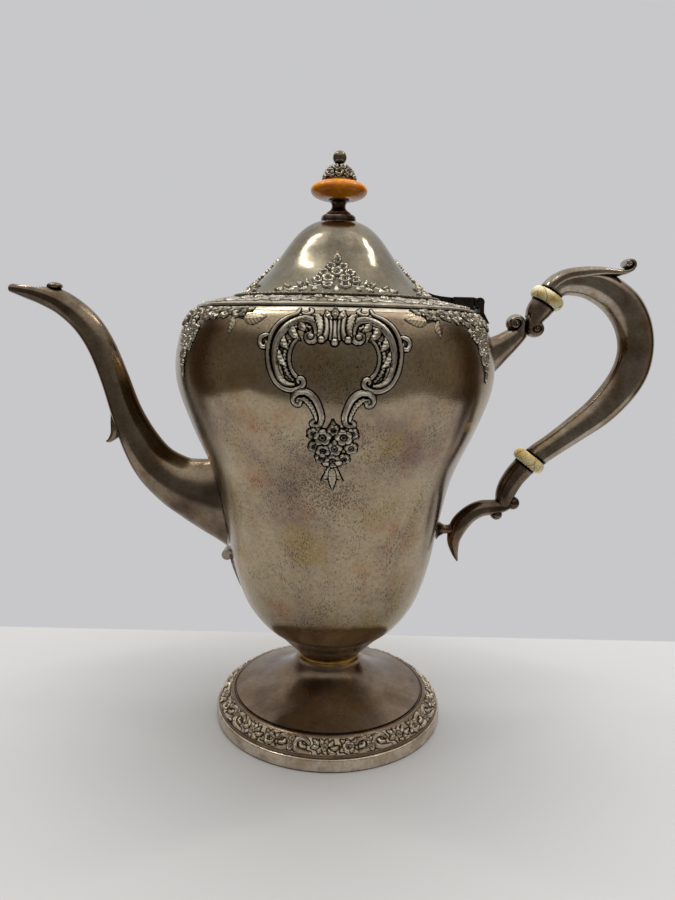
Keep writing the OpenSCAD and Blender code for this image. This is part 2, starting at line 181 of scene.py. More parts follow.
def joined(shapes: list[Shape]) -> Shape:
    """One shape that holds several separate closed ones."""
    starts = np.cumsum([0] + [len(s.verts) for s in shapes])
    names = sorted(set().union(*(s.marks for s in shapes)))
    return Shape(
        np.vstack([s.verts for s in shapes]),
        np.vstack([s.quads + n for s, n in zip(shapes, starts)]),
        np.vstack([s.tris + n for s, n in zip(shapes, starts)]),
        {
            name: np.concatenate([s.marks.get(name, np.zeros(len(s.verts))) for s in shapes])
            for name in names
        },
    )


NO_TRIS = np.zeros((0, 3), int)


def revolve(outline: Array, around: int = 256) -> Shape:
    """Closed solid of revolution.

    A vertex is (r cos a, r sin a, z), for each point (r, z) of the outline and each of
    the equal angles a. An outline that starts and ends on the axis gets a pole at each
    end, and any other is joined to its own start.

    Args:
        outline: points of radius and height.
        around: number of angles.

    Returns:
        The closed shape, faces outwards.
    """
    on_axis = outline[0, 0] < 1e-6 and outline[-1, 0] < 1e-6
    line = outline[1:-1] if on_axis else outline
    a = np.arange(around) * 2 * math.pi / around
    r, z = line[:, :1], np.repeat(line[:, 1:2], around, axis=1)
    verts = np.stack([r * np.cos(a), r * np.sin(a), z], axis=2).reshape(-1, 3)
    quads = grid_faces(len(line), around, not on_axis, True)
    tris = NO_TRIS
    if on_axis:
        poles = np.array([[0, 0, outline[0, 1]], [0, 0, outline[-1, 1]]])
        first = np.arange(around)
        last = first + (len(line) - 1) * around
        tris = np.vstack([fan(first[::-1], len(verts)), fan(last, len(verts) + 1)])
        verts = np.vstack([verts, poles])
    return Shape(verts, quads, tris, {}).outward()


def round_section(points: int, squareness: float = 2.0) -> Array:
    """Superellipse section: |n|^k + |y|^k = 1, as rows of n and y.

    Args:
        points: points around the section.
        squareness: the power k.

    Returns:
        Rows of n, across the path in its plane, and y, square to that plane.
    """
    a = np.arange(points) * 2 * math.pi / points
    c, s = np.cos(a), np.sin(a)
    power = 2 / squareness
    return np.stack([np.sign(c) * abs(c) ** power, np.sign(s) * abs(s) ** power], axis=1)


def panelled_section(points: int, outer: float, inner: float, ease: Points) -> Array:
    """Section with an outer and an inner flank that meet a narrow flat panel.

    A flank falls from its crease, with a from 0 to 1 across it, as (1 - a^e)^p, where
    p = 0.5 + 0.19 (2 - e): an ellipse for e = 2, and a firm crease for e near 1. The far
    side mirrors the near one, and a short running mean softens the creases.

    Args:
        points: points around the section, a multiple of six.
        outer: place of the outer crease.
        inner: place of the inner crease, counted the other way.
        ease: e of the outer and of the inner flank.

    Returns:
        Rows of n and y.
    """
    part = points // 6
    t = np.arange(part) / part
    rise, fall = np.sin(t * math.pi / 2), np.cos(t * math.pi / 2)
    power = [0.5 + 0.19 * (2 - e) for e in ease]
    outer_n, outer_y = outer + (1 - outer) * fall, (1 - fall ** ease[0]) ** power[0]
    panel_n, panel_y = outer - (outer + inner) * t, np.ones(part)
    inner_n, inner_y = -inner - (1 - inner) * rise, (1 - rise ** ease[1]) ** power[1]
    sides = (outer_n, panel_n, inner_n), (outer_y, panel_y, inner_y)
    near = np.stack([np.concatenate(side) for side in sides], axis=1)
    far = np.vstack([[[-1.0, 0.0]], near[:0:-1] * [1, -1]])
    whole = np.vstack([near, far])
    return (whole + np.roll(whole, 1, axis=0) + np.roll(whole, -1, axis=0)) / 3


def sweep(path: Array, section: Array) -> Shape:
    """Closed solid carried along a path in the plane of X and Z.

    A vertex is the path's point plus n times the half height along the path's left
    normal plus y times the half width along Y. Both ends are closed with a fan.

    Args:
        path: rows of X, Z, half height and half width.
        section: rows of n and y.

    Returns:
        The closed shape, faces outwards.
    """
    normal = left_of(path)
    m, k = len(path), len(section)
    across = path[:, 2:3] * section[:, 0]
    verts = np.stack(
        [
            path[:, :1] + normal[:, :1] * across,
            path[:, 3:4] * section[:, 1],
            path[:, 1:2] + normal[:, 1:2] * across,
        ],
        axis=2,
    ).reshape(-1, 3)
    ends = np.array([[path[e, 0], 0, path[e, 1]] for e in (0, -1)])
    first = np.arange(k)
    tris = np.vstack([fan(first[::-1], m * k), fan(first + (m - 1) * k, m * k + 1)])
    return Shape(np.vstack([verts, ends]), grid_faces(m, k, False, True), tris, {}).outward()


def ellipsoid(centre: Points, radii: Points, rows: int = 16, around: int = 24) -> Shape:
    """Closed ellipsoid: centre + radii * (sin t cos a, sin t sin a, cos t).

    Args:
        centre: X, Y and Z of its middle.
        radii: its three half lengths.
        rows: steps from pole to pole.
        around: steps around.

    Returns:
        The closed shape.
    """
    t = np.linspace(0, math.pi, rows + 1)
    ball = revolve(np.stack([np.sin(t) * (t > 0) * (t < math.pi), -np.cos(t)], axis=1), around)
    ball.verts = ball.verts * np.asarray(radii) + np.asarray(centre)
    return ball


def volute(
    centre: Points, reach: float, start: float, turns: float, h: Points, w: Points
) -> Array:
    """Path of a curled end: a spiral whose radius shrinks evenly, to 0.18 of its start.

    Args:
        centre: X and Z of its eye.
        reach: radius of the path where it starts.
        start: angle of its start, in degrees from +X towards +Z.
        turns: how far it winds, from +X towards +Z.
        h: half height at its start and at its eye.
        w: half width at its start and at its eye.

    Returns:
        Rows of X, Z, half height and half width.
    """
    steps_per_turn, shrink = 28, 0.82
    t = np.linspace(0, 1, int(turns * steps_per_turn))
    a = math.radians(start) + t * turns * 2 * math.pi
    radius = reach * (1 - shrink * t)
    return np.stack(
        [
            centre[0] + radius * np.cos(a),
            centre[1] + radius * np.sin(a),
            h[0] + (h[1] - h[0]) * t,
            w[0] + (w[1] - w[0]) * t**1.5,
        ],
        axis=1,
    )


def make_piece(
    name: str, shape: Shape, body: Body, finish: "Finish", slot: str, *nodes: str
) -> None:
    """Turns a shape into a finished piece of the pot, at the origin.

    Args:
        name: name of the piece.
        shape: its geometry in millimetres.
        body: the rigid body that it moves with.
        finish: its material.
        slot: the record's material slot; not used.
        nodes: frame nodes that it stands for.
    """
    mesh = bpy.data.meshes.new(name)
    faces = np.concatenate([shape.quads.ravel(), shape.tris.ravel()])
    sizes = [4] * len(shape.quads) + [3] * len(shape.tris)
    starts = np.concatenate([[0], np.cumsum(sizes)[:-1]])
    mesh.vertices.add(len(shape.verts))
    mesh.vertices.foreach_set("co", (shape.verts * MM).astype(np.float32).ravel())
    mesh.loops.add(len(faces))
    mesh.loops.foreach_set("vertex_index", faces.astype(np.int32))
    mesh.polygons.add(len(starts))
    mesh.polygons.foreach_set("loop_start", starts.astype(np.int32))
    mesh.update(calc_edges=True)
    mesh.validate()
    mesh.polygons.foreach_set("use_smooth", np.ones(len(mesh.polygons), bool))
    mesh.set_sharp_from_angle(angle=math.radians(50))
    for mark, values in shape.marks.items():
        layer = mesh.attributes.new(mark, "FLOAT", "POINT")
        layer.data.foreach_set("value", values.astype(np.float32))
    mesh.materials.append(finish.material())
    piece = bpy.data.objects.new(name, mesh)
    bpy.context.scene.collection.objects.link(piece)
    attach(piece, body.value)
    if nodes:
        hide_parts(*nodes)
    LOG.info("%s: %d vertices, %.0f mm3", name, len(mesh.vertices), shape.volume())


# ---------------------------------------------------------------- relief


@dataclass(frozen=True)
class Ground:
    """A turned surface that relief stands on.

    A place on it is u, the distance round from the angle `facing` at the local radius or,
    for a sheet that goes all the way round, at the radius `round_at`, and v, the distance
    down along the outline from its first point.
    """

    outline: Array
    facing: float = -90.0
    round_at: float = 0.0

    def place(self, u: Array, v: Array, lift: Array) -> Array:
        """Points on the surface, moved outwards by lift.

        Args:
            u: distances round, in millimetres.
            v: distances down the outline.
            lift: distances along the outward normal.

        Returns:
            An array of X, Y and Z, of the shape of u plus one axis.
        """
        s = arc_length(self.outline)
        r = np.interp(v, s, self.outline[:, 0])
        z = np.interp(v, s, self.outline[:, 1])
        out = left_of(self.outline)
        nr, nz = np.interp(v, s, out[:, 0]), np.interp(v, s, out[:, 1])
        a = math.radians(self.facing) + u / (self.round_at or r)
        far = r + nr * lift
        return np.stack([far * np.cos(a), far * np.sin(a), z + nz * lift], axis=-1)


def shifted(points: Points, at: float, side: int = 1) -> Points:
    """A stroke's rows of u, v and half width, mirrored for side -1 and moved along u."""
    return tuple((at + side * u, v, w) for u, v, w in points)


class Chasing:
    """A sheet of relief, worked up one motif after another on a grid in millimetres."""

    margin = 0.6

    def __init__(self, u_range: Points, v_range: Points, step: float, darken: float = 0.0) -> None:
        """Starts a plain sheet.

        Args:
            u_range: lowest and highest u.
            v_range: lowest and highest v.
            step: grid spacing.
            darken: how much dirt the plain ground between motifs keeps.
        """
        u = np.arange(u_range[0], u_range[1] + step / 2, step)
        v = np.arange(v_range[0], v_range[1] + step / 2, step)
        self.step, self.darken = step, darken
        self.u, self.v = np.meshgrid(u, v)
        self.height = np.zeros_like(self.u)
        self.near = np.full_like(self.u, 9.0)

    def _window(self, low: Array, high: Array) -> tuple[slice, slice]:
        """Part of the grid between two corners."""
        first = np.floor((low - [self.u[0, 0], self.v[0, 0]]) / self.step).astype(int)
        last = np.ceil((high - [self.u[0, 0], self.v[0, 0]]) / self.step).astype(int) + 1
        rows = slice(max(first[1], 0), max(last[1], 0))
        return rows, slice(max(first[0], 0), max(last[0], 0))

    def _around(self, u0: float, v0: float, radius: float) -> tuple:
        """Part of the grid around a place, and the offsets of its points from there."""
        place, reach = np.array([u0, v0]), radius + self.margin
        window = self._window(place - reach, place + reach)
        return window, self.u[window] - u0, self.v[window] - v0

    def _lay(self, window: tuple[slice, slice], edge: Array, rise: Array) -> None:
        """Lays a motif over what is there, with a fine groove cut around it.

        Args:
            window: part of the grid.
            edge: distance outside the motif's edge, negative inside.
            rise: height of the motif where it is inside.
        """
        groove_wide, kept = 0.35, 0.25
        under = self.height[window]
        groove = np.clip(edge / groove_wide, 0, 1)
        self.height[window] = np.where(edge < 0, rise + kept * under, under * groove)
        self.near[window] = np.minimum(self.near[window], np.maximum(edge, 0))

    def stroke(
        self,
        points: Points,
        high: float = 1.0,
        flutes: int = 0,
        teeth: float = 0.0,
        mirror: bool = False,
    ) -> None:
        """Scroll or leaf rib: a band of changing width along a curve.

        With x the distance from the curve as a part of the half width there, its height is
        sqrt(1 - x^2), lowered between the flutes by a cosine of x. Teeth nick its edges at
        a pitch of about 1.3 mm.

        Args:
            points: rows of u, v and half width.
            high: height of its crown.
            flutes: grooves along it.
            teeth: depth of the nicks as a part of the half width.
            mirror: also lays its mirror image about u = 0.
        """
        step, pitch = 0.45, 1.3
        line = even_steps(blend_curve(points, 6), step)
        reach = line[:, 2].max() + self.margin
        window = self._window(line[:, :2].min(0) - reach, line[:, :2].max(0) + reach)
        u, v = self.u[window], self.v[window]
        if u.size:
            a, b = line[:-1, :2], line[1:, :2]
            ab = b - a
            pu, pv = u[..., None] - a[:, 0], v[..., None] - a[:, 1]
            t = np.clip((pu * ab[:, 0] + pv * ab[:, 1]) / (ab**2).sum(1), 0, 1)
            du, dv = pu - t * ab[:, 0], pv - t * ab[:, 1]
            half = line[:-1, 2] + t * np.diff(line[:, 2])
            edge_all = np.hypot(du, dv) - half
            best = edge_all.argmin(-1)[..., None]
            d = np.take_along_axis(np.hypot(du, dv), best, -1)[..., 0]
            half = np.take_along_axis(half, best, -1)[..., 0]
            along = (best[..., 0] + np.take_along_axis(t, best, -1)[..., 0]) * step
            if teeth:
                half = half * (1 - teeth * np.abs(np.sin(along * math.pi / pitch)))
            x = np.clip(d / np.maximum(half, 1e-3), 0, 1)
            crown = np.sqrt(1 - x**2 * 0.96) * np.clip(half / 0.9, 0.35, 1)
            if flutes:
                crown = crown * (1 - 0.5 * (0.5 - 0.5 * np.cos(x * math.pi * (flutes + 0.7))))
            self._lay(window, d - half, high * crown)
        if mirror:
            self.stroke(shifted(points, 0, -1), high, flutes, teeth)

    def flower(
        self, u0: float, v0: float, radius: float, petals: int, turn: float, high: float
    ) -> None:
        """Open flower with cupped petals, deep gaps between them and a pitted eye.

        The petal edge is at radius times (0.78 + 0.22 |cos(n a / 2)|^0.6). A petal rises
        from 0.36 of that reach to a crown and falls again, as a power of a sine. The eye is
        a ring at 0.24 of the radius with a pit inside.

        Args:
            u0: u of the eye.
            v0: v of the eye.
            radius: reach of the petals.
            petals: number of petals.
            turn: rotation in radians.
            high: height of the petals' crowns.
        """
        window, du, dv = self._around(u0, v0, radius)
        rho, a = np.hypot(du, dv), np.arctan2(dv, du) + turn
        lobe = np.abs(np.cos(petals * a / 2))
        reach = radius * (0.78 + 0.22 * lobe**0.6)
        x = np.clip(rho / reach, 0, 1)
        crown = np.sin(math.pi * np.clip((x - 0.36) / 0.64, 0.0, 1) ** 1.3) ** 0.7
        petal = (0.2 + 0.8 * crown) * (0.35 + 0.65 * lobe**0.45)
        ring = np.exp(-(((rho / radius - 0.24) / 0.075) ** 2))
        rise = high * np.where(rho < 0.34 * radius, 0.05 + 0.8 * ring, np.maximum(petal, 0.8 * ring))
        self._lay(window, rho - reach, rise)

    def bead(self, u0: float, v0: float, radius: float, high: float) -> None:
        """Half-round knob whose height is high times sqrt(1 - 0.96 x^2)."""
        window, du, dv = self._around(u0, v0, radius)
        rho = np.hypot(du, dv)
        self._lay(window, rho - radius, high * np.sqrt(1 - 0.96 * np.clip(rho / radius, 0, 1) ** 2))

    def leaf(
        self,
        tip_u: float,
        tip_v: float,
        base_u: float,
        base_v: float,
        wide: float,
        bend: float,
        high: float,
    ) -> None:
        """Pointed leaf with a raised midrib and slanting veins.

        With t from base to tip, its half width is wide times sin(pi t^0.75)^0.8, nicked
        along the edge. Its veins are a cosine of the distance along less 0.4 of that across.

        Args:
            tip_u: u of the tip.
            tip_v: v of the tip.
            base_u: u of the stem.
            base_v: v of the stem.
            wide: largest half width.
            bend: sideways bow of its midrib, as a part of its length.
            high: height of the blade.
        """
        base, tip = np.array([base_u, base_v]), np.array([tip_u, tip_v])
        length = float(np.hypot(*(tip - base)))
        margin = wide + abs(bend) * length + 0.7
        window = self._window(np.minimum(base, tip) - margin, np.maximum(base, tip) + margin)
        du, dv = self.u[window] - base_u, self.v[window] - base_v
        d = (tip - base) / length
        t = (du * d[0] + dv * d[1]) / length
        inside = np.clip(t, 0, 1)
        across = -du * d[1] + dv * d[0] - bend * length * 4 * inside * (1 - inside)
        half = wide * np.sin(math.pi * inside**0.75) ** 0.8 + 1e-3
        half = half * (1 - 0.16 * np.abs(np.sin(inside * length * math.pi / 1.5)))
        x = np.abs(across) / half
        veins = 0.5 + 0.5 * np.cos(2 * math.pi * (inside * length / 1.5 - 0.4 * np.abs(across)))
        rib = np.exp(-((across / 0.28) ** 2))
        rise = high * ((1 - 0.55 * np.clip(x, 0, 1) ** 2) * (0.72 + 0.28 * veins) + 0.25 * rib)
        beyond = np.maximum(-t, t - 1) * length
        self._lay(window, np.maximum(np.abs(across) - half, beyond), rise)

    def leaves(
        self,
        rows: Points,
        wide: float,
        bend: float,
        high: float,
        at: float = 0.0,
        sides: Points = (1,),
    ) -> None:
        """Leaves of one size.

        Args:
            rows: u and v of each tip, then u and v of its stem.
            wide: largest half width.
            bend: sideways bow of the midribs.
            high: height of the blades.
            at: distance to move them along u.
            sides: 1 for the rows as they are, -1 for their mirror image.
        """
        for side in sides:
            for tip_u, tip_v, base_u, base_v in rows:
                tip, base = at + side * tip_u, at + side * base_u
                self.leaf(tip, tip_v, base, base_v, wide, side * bend, high)

    def shell(self, ground: Ground, halo: float, sink: float = 0.5) -> Shape:
        """Closed relief piece that stands out of its ground.

        It keeps the cells within halo of a motif. Its face lies the motif's height above
        the ground, dips just under it at the rim, and its back lies sink below.

        Args:
            ground: surface that it stands on.
            halo: width of plain, darkened ground kept around the motifs.
            sink: depth of its back.

        Returns:
            The closed shape, with the mark `hollow` from 0 on crests to 1 in recesses.
        """
        rows, columns = self.u.shape
        keep = self.near < halo
        cell = keep[:-1, :-1] & keep[:-1, 1:] & keep[1:, 1:] & keep[1:, :-1]
        # a vertex is inside when all its four cells are kept
        ring = np.pad(cell, 1)
        whole = ring[:-1, :-1] & ring[:-1, 1:] & ring[1:, 1:] & ring[1:, :-1]
        lift = np.where(whole, self.height + 0.03, -0.12)
        number = np.arange(rows * columns).reshape(rows, columns)
        corners = [number[:-1, :-1], number[1:, :-1], number[1:, 1:], number[:-1, 1:]]
        top = np.stack([c[cell] for c in corners], axis=1)
        count = rows * columns
        sides = []
        for shift, first, second in (
            ((slice(0, -2), slice(1, -1)), 3, 0),
            ((slice(2, None), slice(1, -1)), 1, 2),
            ((slice(1, -1), slice(0, -2)), 0, 1),
            ((slice(1, -1), slice(2, None)), 2, 3),
        ):
            open_side = cell & ~ring[shift]
            a, b = corners[first][open_side], corners[second][open_side]
            sides.append(np.stack([b, a, a + count, b + count], axis=1))
        quads = np.vstack([top, top[:, ::-1] + count, *sides])
        verts = np.concatenate(
            [
                ground.place(self.u, self.v, lift).reshape(-1, 3),
                ground.place(self.u, self.v, np.full_like(lift, -sink)).reshape(-1, 3),
            ]
        )
        hollow = np.tile(self.hollow().ravel(), 2)
        used, renumbered = np.unique(quads, return_inverse=True)
        marks = {"hollow": hollow[used]}
        return Shape(verts[used], renumbered.reshape(-1, 4), NO_TRIS, marks).outward()

    def _mean(self, reach: float) -> Array:
        """Mean height over the square that reaches the given distance to each side."""
        size = max(1, int(round(reach / self.step)))
        span = 2 * size + 1
        mean = self.height
        for _ in range(2):
            padded = np.pad(mean, [(size, size), (0, 0)], mode="edge")
            total = np.cumsum(np.insert(padded, 0, 0, axis=0), axis=0)
            mean = ((total[span:] - total[:-span]) / span).T
        return mean

    def hollow(self) -> Array:
        """How deep each place lies among its surroundings: two local means less the height."""
        deep = 1.3 * (self._mean(0.9) - self.height) + 2.2 * (self._mean(0.4) - self.height)
        plain = self.height < 0.12
        edge = np.clip(1 - self.near / 0.9, 0, 1) * plain
        return np.clip(np.maximum(0.2 + deep + 0.6 * edge, self.darken * plain), 0, 1)


# ---------------------------------------------------------------- finishes

SMOOTH = {"interpolation_type": "SMOOTHSTEP"}
COLOURS = {"data_type": "RGBA"}
Tree = bpy.types.NodeTree
Socket = bpy.types.NodeSocket


def linear(code: str) -> tuple[float, float, float, float]:
    """Linear colour with alpha 1 from an sRGB hex code."""
    parts = [int(code[k : k + 2], 16) / 255 for k in (1, 3, 5)]
    return (*(c / 12.92 if c <= 0.04045 else ((c + 0.055) / 1.055) ** 2.4 for c in parts), 1.0)


def add_node(
    tree: Tree,
    kind: str,
    settings: dict | None = None,
    inputs: dict | None = None,
    output: int | str = 0,
) -> Socket | None:
    """Adds a node with its settings and its inputs.

    Args:
        tree: node tree to add to.
        kind: the node's class name without its Shader prefix.
        settings: properties of the node.
        inputs: values or output sockets, by input name or number.
        output: name or number of the output that is wanted.

    Returns:
        That output's socket, or None for a node that has none.
    """
    node = tree.nodes.new("ShaderNode" + kind)
    for key, value in (settings or {}).items():
        setattr(node, key, value)
    for key, value in (inputs or {}).items():
        if isinstance(value, Socket):
            tree.links.new(value, node.inputs[key])
        else:
            node.inputs[key].default_value = value
    return node.outputs[output] if len(node.outputs) else None


@dataclass(frozen=True)
class Stain:
    """Soft-edged patches of one colour, laid over another colour.

    Noise of the given patch size is stepped smoothly from low to high, and its result
    times the share mixes the tone in. A shift moves the pattern, so that two stains of
    one surface don't coincide.
    """

    tone: str
    size_mm: float
    low: float
    high: float
    share: float = 1.0
    shift: tuple[float, float, float] = (0.0, 0.0, 0.0)
    detail: float = 4.0

    def over(self, tree: Tree, place: Socket, colour: object) -> Socket:
        """Lays the patches.

        Args:
            tree: node tree to add to.
            place: coordinates in metres.
            colour: colour, or its socket, that the patches lie on.

        Returns:
            The stained colour's socket.
        """
        moved = add_node(tree, "VectorMath", {"operation": "ADD"}, {0: place, 1: self.shift})
        scale = 1 / (self.size_mm * MM)
        noise = {"Vector": moved, "Scale": scale, "Detail": self.detail, "Roughness": 0.6}
        cloud = add_node(tree, "TexNoise", None, noise)
        share = add_node(tree, "MapRange", SMOOTH, {0: cloud, 1: self.low, 2: self.high, 4: self.share})
        return add_node(tree, "Mix", COLOURS, {0: share, 6: colour, 7: linear(self.tone)}, 2)


class Finish:
    """A material that is made once and then shared."""

    name = "finish"

    def material(self) -> bpy.types.Material:
        """The finish's material."""
        found = bpy.data.materials.get(self.name)
        if found is None:
            found = bpy.data.materials.new(self.name)
            found.use_nodes = True
            found.node_tree.nodes.clear()
            shader = self.shade(found.node_tree)
            add_node(found.node_tree, "OutputMaterial", None, {"Surface": shader})
        return found

    def shade(self, tree: Tree) -> Socket:
        """Fills the tree and gives its shader."""
        raise NotImplementedError


@dataclass(frozen=True)
class TarnishedSilver(Finish):
    """Spun or cast sterling silver, once polished, with a thin sulphide film.

    The film is straw to brown, lies in soft patches, and is black where dirt stays in the
    recesses. Painted shade from an occlusion test darkens the crevices and the places where
    parts meet as well. Metal shows most where a cloth reaches.
    """

    name: str = "tarnished_silver"
    clean: str = "#AD997A"
    film: str = "#867058"
    warm: str = "#9C844E"
    rose: str = "#A07052"
    # black of dirt and ticks, also laid on as painted shade in crevices
    dirt_and_shade: str = "#0E0B08"
    film_low: float = 0.38
    film_high: float = 0.68
    patch_mm: float = 26.0
    rough: float = 0.20
    ticks: float = 0.0
    # reach of the occlusion test that paints shade in crevices
    recess_mm: float = 1.6
    recess: float = 1.0

    def shade(self, tree: Tree) -> Socket:
        """Metal shader whose colour and roughness follow the film, ticks, recesses and painted shade."""
        place = add_node(tree, "TexCoord", output="Object")
        colour = linear(self.clean)
        for stain in (
            Stain(self.film, self.patch_mm, self.film_low, self.film_high, 1.0, (0.52, 0.11, 0.23), 5),
            Stain(self.warm, self.patch_mm * 0.7, 0.48, 0.72, 0.75, (0.31, 0.17, 0.05)),
            Stain(self.rose, self.patch_mm * 0.5, 0.50, 0.75, 0.7, (0.07, 0.43, 0.29)),
            # a polishing cloth leaves a fine mottle of about a millimetre
            Stain(self.dirt_and_shade, 1.3, 0.35, 0.7, 0.22),
        ):
            colour = stain.over(tree, place, colour)
        if self.ticks:
            colour = self.add_ticks(tree, place, colour)
        hollow = add_node(tree, "Attribute", {"attribute_name": "hollow"}, None, "Fac")
        # painted shade: an ambient-occlusion test darkens crevices and the places where parts meet
        shut = add_node(tree, "AmbientOcclusion", {"samples": 6}, {"Distance": self.recess_mm * MM}, "AO")
        shade = add_node(tree, "MapRange", SMOOTH, {0: shut, 1: 0.9, 2: 0.35, 4: self.recess})
        deep = add_node(tree, "MapRange", SMOOTH, {0: hollow, 1: 0.3, 2: 0.75, 4: self.recess})
        # the darker of the painted shade and the hollow mark's darkening of the recesses
        dirt_and_shade = add_node(tree, "Math", {"operation": "MAXIMUM"}, {0: shade, 1: deep})
        colour = add_node(tree, "Mix", COLOURS, {0: dirt_and_shade, 6: colour, 7: linear(self.dirt_and_shade)}, 2)
        cloud = add_node(tree, "TexNoise", None, {"Vector": place, "Scale": 1 / (self.patch_mm * MM)})
        low, high = self.rough * 0.8, self.rough * 1.3
        rough = add_node(tree, "MapRange", SMOOTH, {0: cloud, 1: 0.35, 2: 0.65, 3: low, 4: high})
        rough = add_node(tree, "Math", {"operation": "MULTIPLY_ADD"}, {0: dirt_and_shade, 1: 0.3, 2: rough})
        # hairline scratches and the spinner's rings, a fraction of a millimetre apart
        lines = add_node(tree, "Mapping", None, {"Vector": place, "Scale": (0.12, 0.12, 1.0)})
        grain = add_node(tree, "TexNoise", None, {"Vector": lines, "Scale": 1 / (0.5 * MM), "Detail": 3.0})
        bump = add_node(tree, "Bump", None, {"Strength": 0.06, "Distance": 0.0002, "Height": grain})
        inputs = {"Base Color": colour, "Metallic": 1.0, "Roughness": rough, "Normal": bump}
        return add_node(tree, "BsdfPrincipled", None, inputs)

    def add_ticks(self, tree: Tree, place: Socket, colour: Socket) -> Socket:
        """Black upright ticks, 0.4 mm wide and twice as long.

        They thin out from 20 to 55 mm off the middle plane and from 137 to 148 mm up, and
        are thickest round the flower drops, within 20 mm of the middle and above 98 mm.

        Args:
            tree: node tree to add to.
            place: coordinates in metres.
            colour: colour that they lie on.

        Returns:
            The ticked colour's socket.
        """
        tall = add_node(tree, "Mapping", None, {"Vector": place, "Scale": (1.0, 1.0, 0.5)})
        speck = {"Vector": tall, "Scale": 1 / (0.44 * MM), "Detail": 1.0, "Roughness": 0.5}
        specks = add_node(tree, "TexNoise", None, speck)
        areas = add_node(tree, "TexNoise", None, {"Vector": place, "Scale": 1 / (14 * MM), "Detail": 4.0})
        x, z = (add_node(tree, "SeparateXYZ", None, {0: place}, axis) for axis in "XZ")
        off = add_node(tree, "Math", {"operation": "ABSOLUTE"}, {0: x})
        wide = add_node(tree, "MapRange", SMOOTH, {0: off, 1: 0.02, 2: 0.055, 3: 0.04, 4: 0.0})
        drop = add_node(tree, "MapRange", SMOOTH, {0: off, 1: 0.008, 2: 0.02, 3: 0.07, 4: 0.0})
        low = add_node(tree, "MapRange", SMOOTH, {0: z, 1: 0.137, 2: 0.148, 3: 1.0, 4: 0.0})
        high = add_node(tree, "MapRange", SMOOTH, {0: z, 1: 0.098, 2: 0.114})
        drop = add_node(tree, "Math", {"operation": "MULTIPLY"}, {0: drop, 1: low})
        drop = add_node(tree, "Math", {"operation": "MULTIPLY"}, {0: drop, 1: high})
        near = add_node(tree, "Math", {"operation": "MULTIPLY_ADD"}, {0: wide, 1: low, 2: drop})
        thick = add_node(tree, "Math", {"operation": "MULTIPLY_ADD"}, {0: areas, 1: 0.5, 2: near})
        past = add_node(tree, "Math", {"operation": "ADD"}, {0: specks, 1: thick})
        marks = add_node(tree, "MapRange", SMOOTH, {0: past, 1: 0.9, 2: 0.96, 4: self.ticks})
        return add_node(tree, "Mix", COLOURS, {0: marks, 6: colour, 7: linear(self.dirt_and_shade)}, 2)


@dataclass(frozen=True)
class AgedIvory(Finish):
    """Turned ivory that has yellowed, with fine dark age cracks across the ring."""

    name: str = "aged_ivory"
    pale: str = "#F2E8BE"
    yellow: str = "#CBA44A"
    crack: str = "#54401F"

    def shade(self, tree: Tree) -> Socket:
        """Polished organic shader with a little light scattered under the surface."""
        place = add_node(tree, "TexCoord", output="Object")
        colour = Stain(self.yellow, 7, 0.38, 0.66).over(tree, place, linear(self.pale))
        crazing = {"Vector": place, "Scale": 1 / (11 * MM), "Randomness": 1.0}
        cells = add_node(tree, "TexVoronoi", {"feature": "DISTANCE_TO_EDGE"}, crazing)
        crack = add_node(tree, "MapRange", SMOOTH, {0: cells, 1: 0.006, 2: 0.016, 3: 0.8, 4: 0.0})
        colour = add_node(tree, "Mix", COLOURS, {0: crack, 6: colour, 7: linear(self.crack)}, 2)
        bump = add_node(tree, "Bump", None, {"Strength": 0.25, "Distance": 0.0001, "Height": cells})
        inputs = {
            "Base Color": colour,
            "Roughness": 0.2,
            "IOR": 1.54,
            "Subsurface Weight": 0.25,
            "Subsurface Radius": (1.0, 0.7, 0.4),
            "Subsurface Scale": 0.0012,
            "Normal": bump,
        }
        return add_node(tree, "BsdfPrincipled", None, inputs)


@dataclass(frozen=True)
class ButterscotchResin(Finish):
    """Cast phenolic resin, turned and buffed: deep orange with clouded swirls."""

    name: str = "butterscotch_resin"
    light: str = "#F29C08"
    deep: str = "#CE7406"
    crust: str = "#4A2204"

    def shade(self, tree: Tree) -> Socket:
        """Glossy plastic shader with swirls of a few millimetres and worn specks."""
        place = add_node(tree, "TexCoord", output="Object")
        colour = Stain(self.deep, 6, 0.36, 0.62, detail=5).over(tree, place, linear(self.light))
        colour = Stain(self.crust, 0.9, 0.6, 0.74, 0.4).over(tree, place, colour)
        grain = add_node(tree, "TexNoise", None, {"Vector": place, "Scale": 1 / (0.6 * MM), "Detail": 2.0})
        rough = add_node(tree, "MapRange", SMOOTH, {0: grain, 1: 0.3, 2: 0.7, 3: 0.1, 4: 0.2})
        bump = add_node(tree, "Bump", None, {"Strength": 0.1, "Distance": 0.0001, "Height": grain})
        inputs = {
            "Base Color": colour,
            "Roughness": rough,
            "IOR": 1.5,
            "Subsurface Weight": 0.1,
            "Subsurface Radius": (1.0, 0.4, 0.1),
            "Subsurface Scale": 0.0015,
            "Normal": bump,
        }
        return add_node(tree, "BsdfPrincipled", None, inputs)


@dataclass(frozen=True)
class StudioFloor(Finish):
    """Matt white painted board."""

    name: str = "studio_floor"
    tone: str = "#C0C0C2"

    def shade(self, tree: Tree) -> Socket:
        """Diffuse shader with a faint unevenness."""
        place = add_node(tree, "TexCoord", output="Object")
        colour = Stain("#B8B8BC", 120, 0.3, 0.7, 0.1).over(tree, place, linear(self.tone))
        return add_node(tree, "BsdfPrincipled", None, {"Base Color": colour, "Roughness": 0.6})


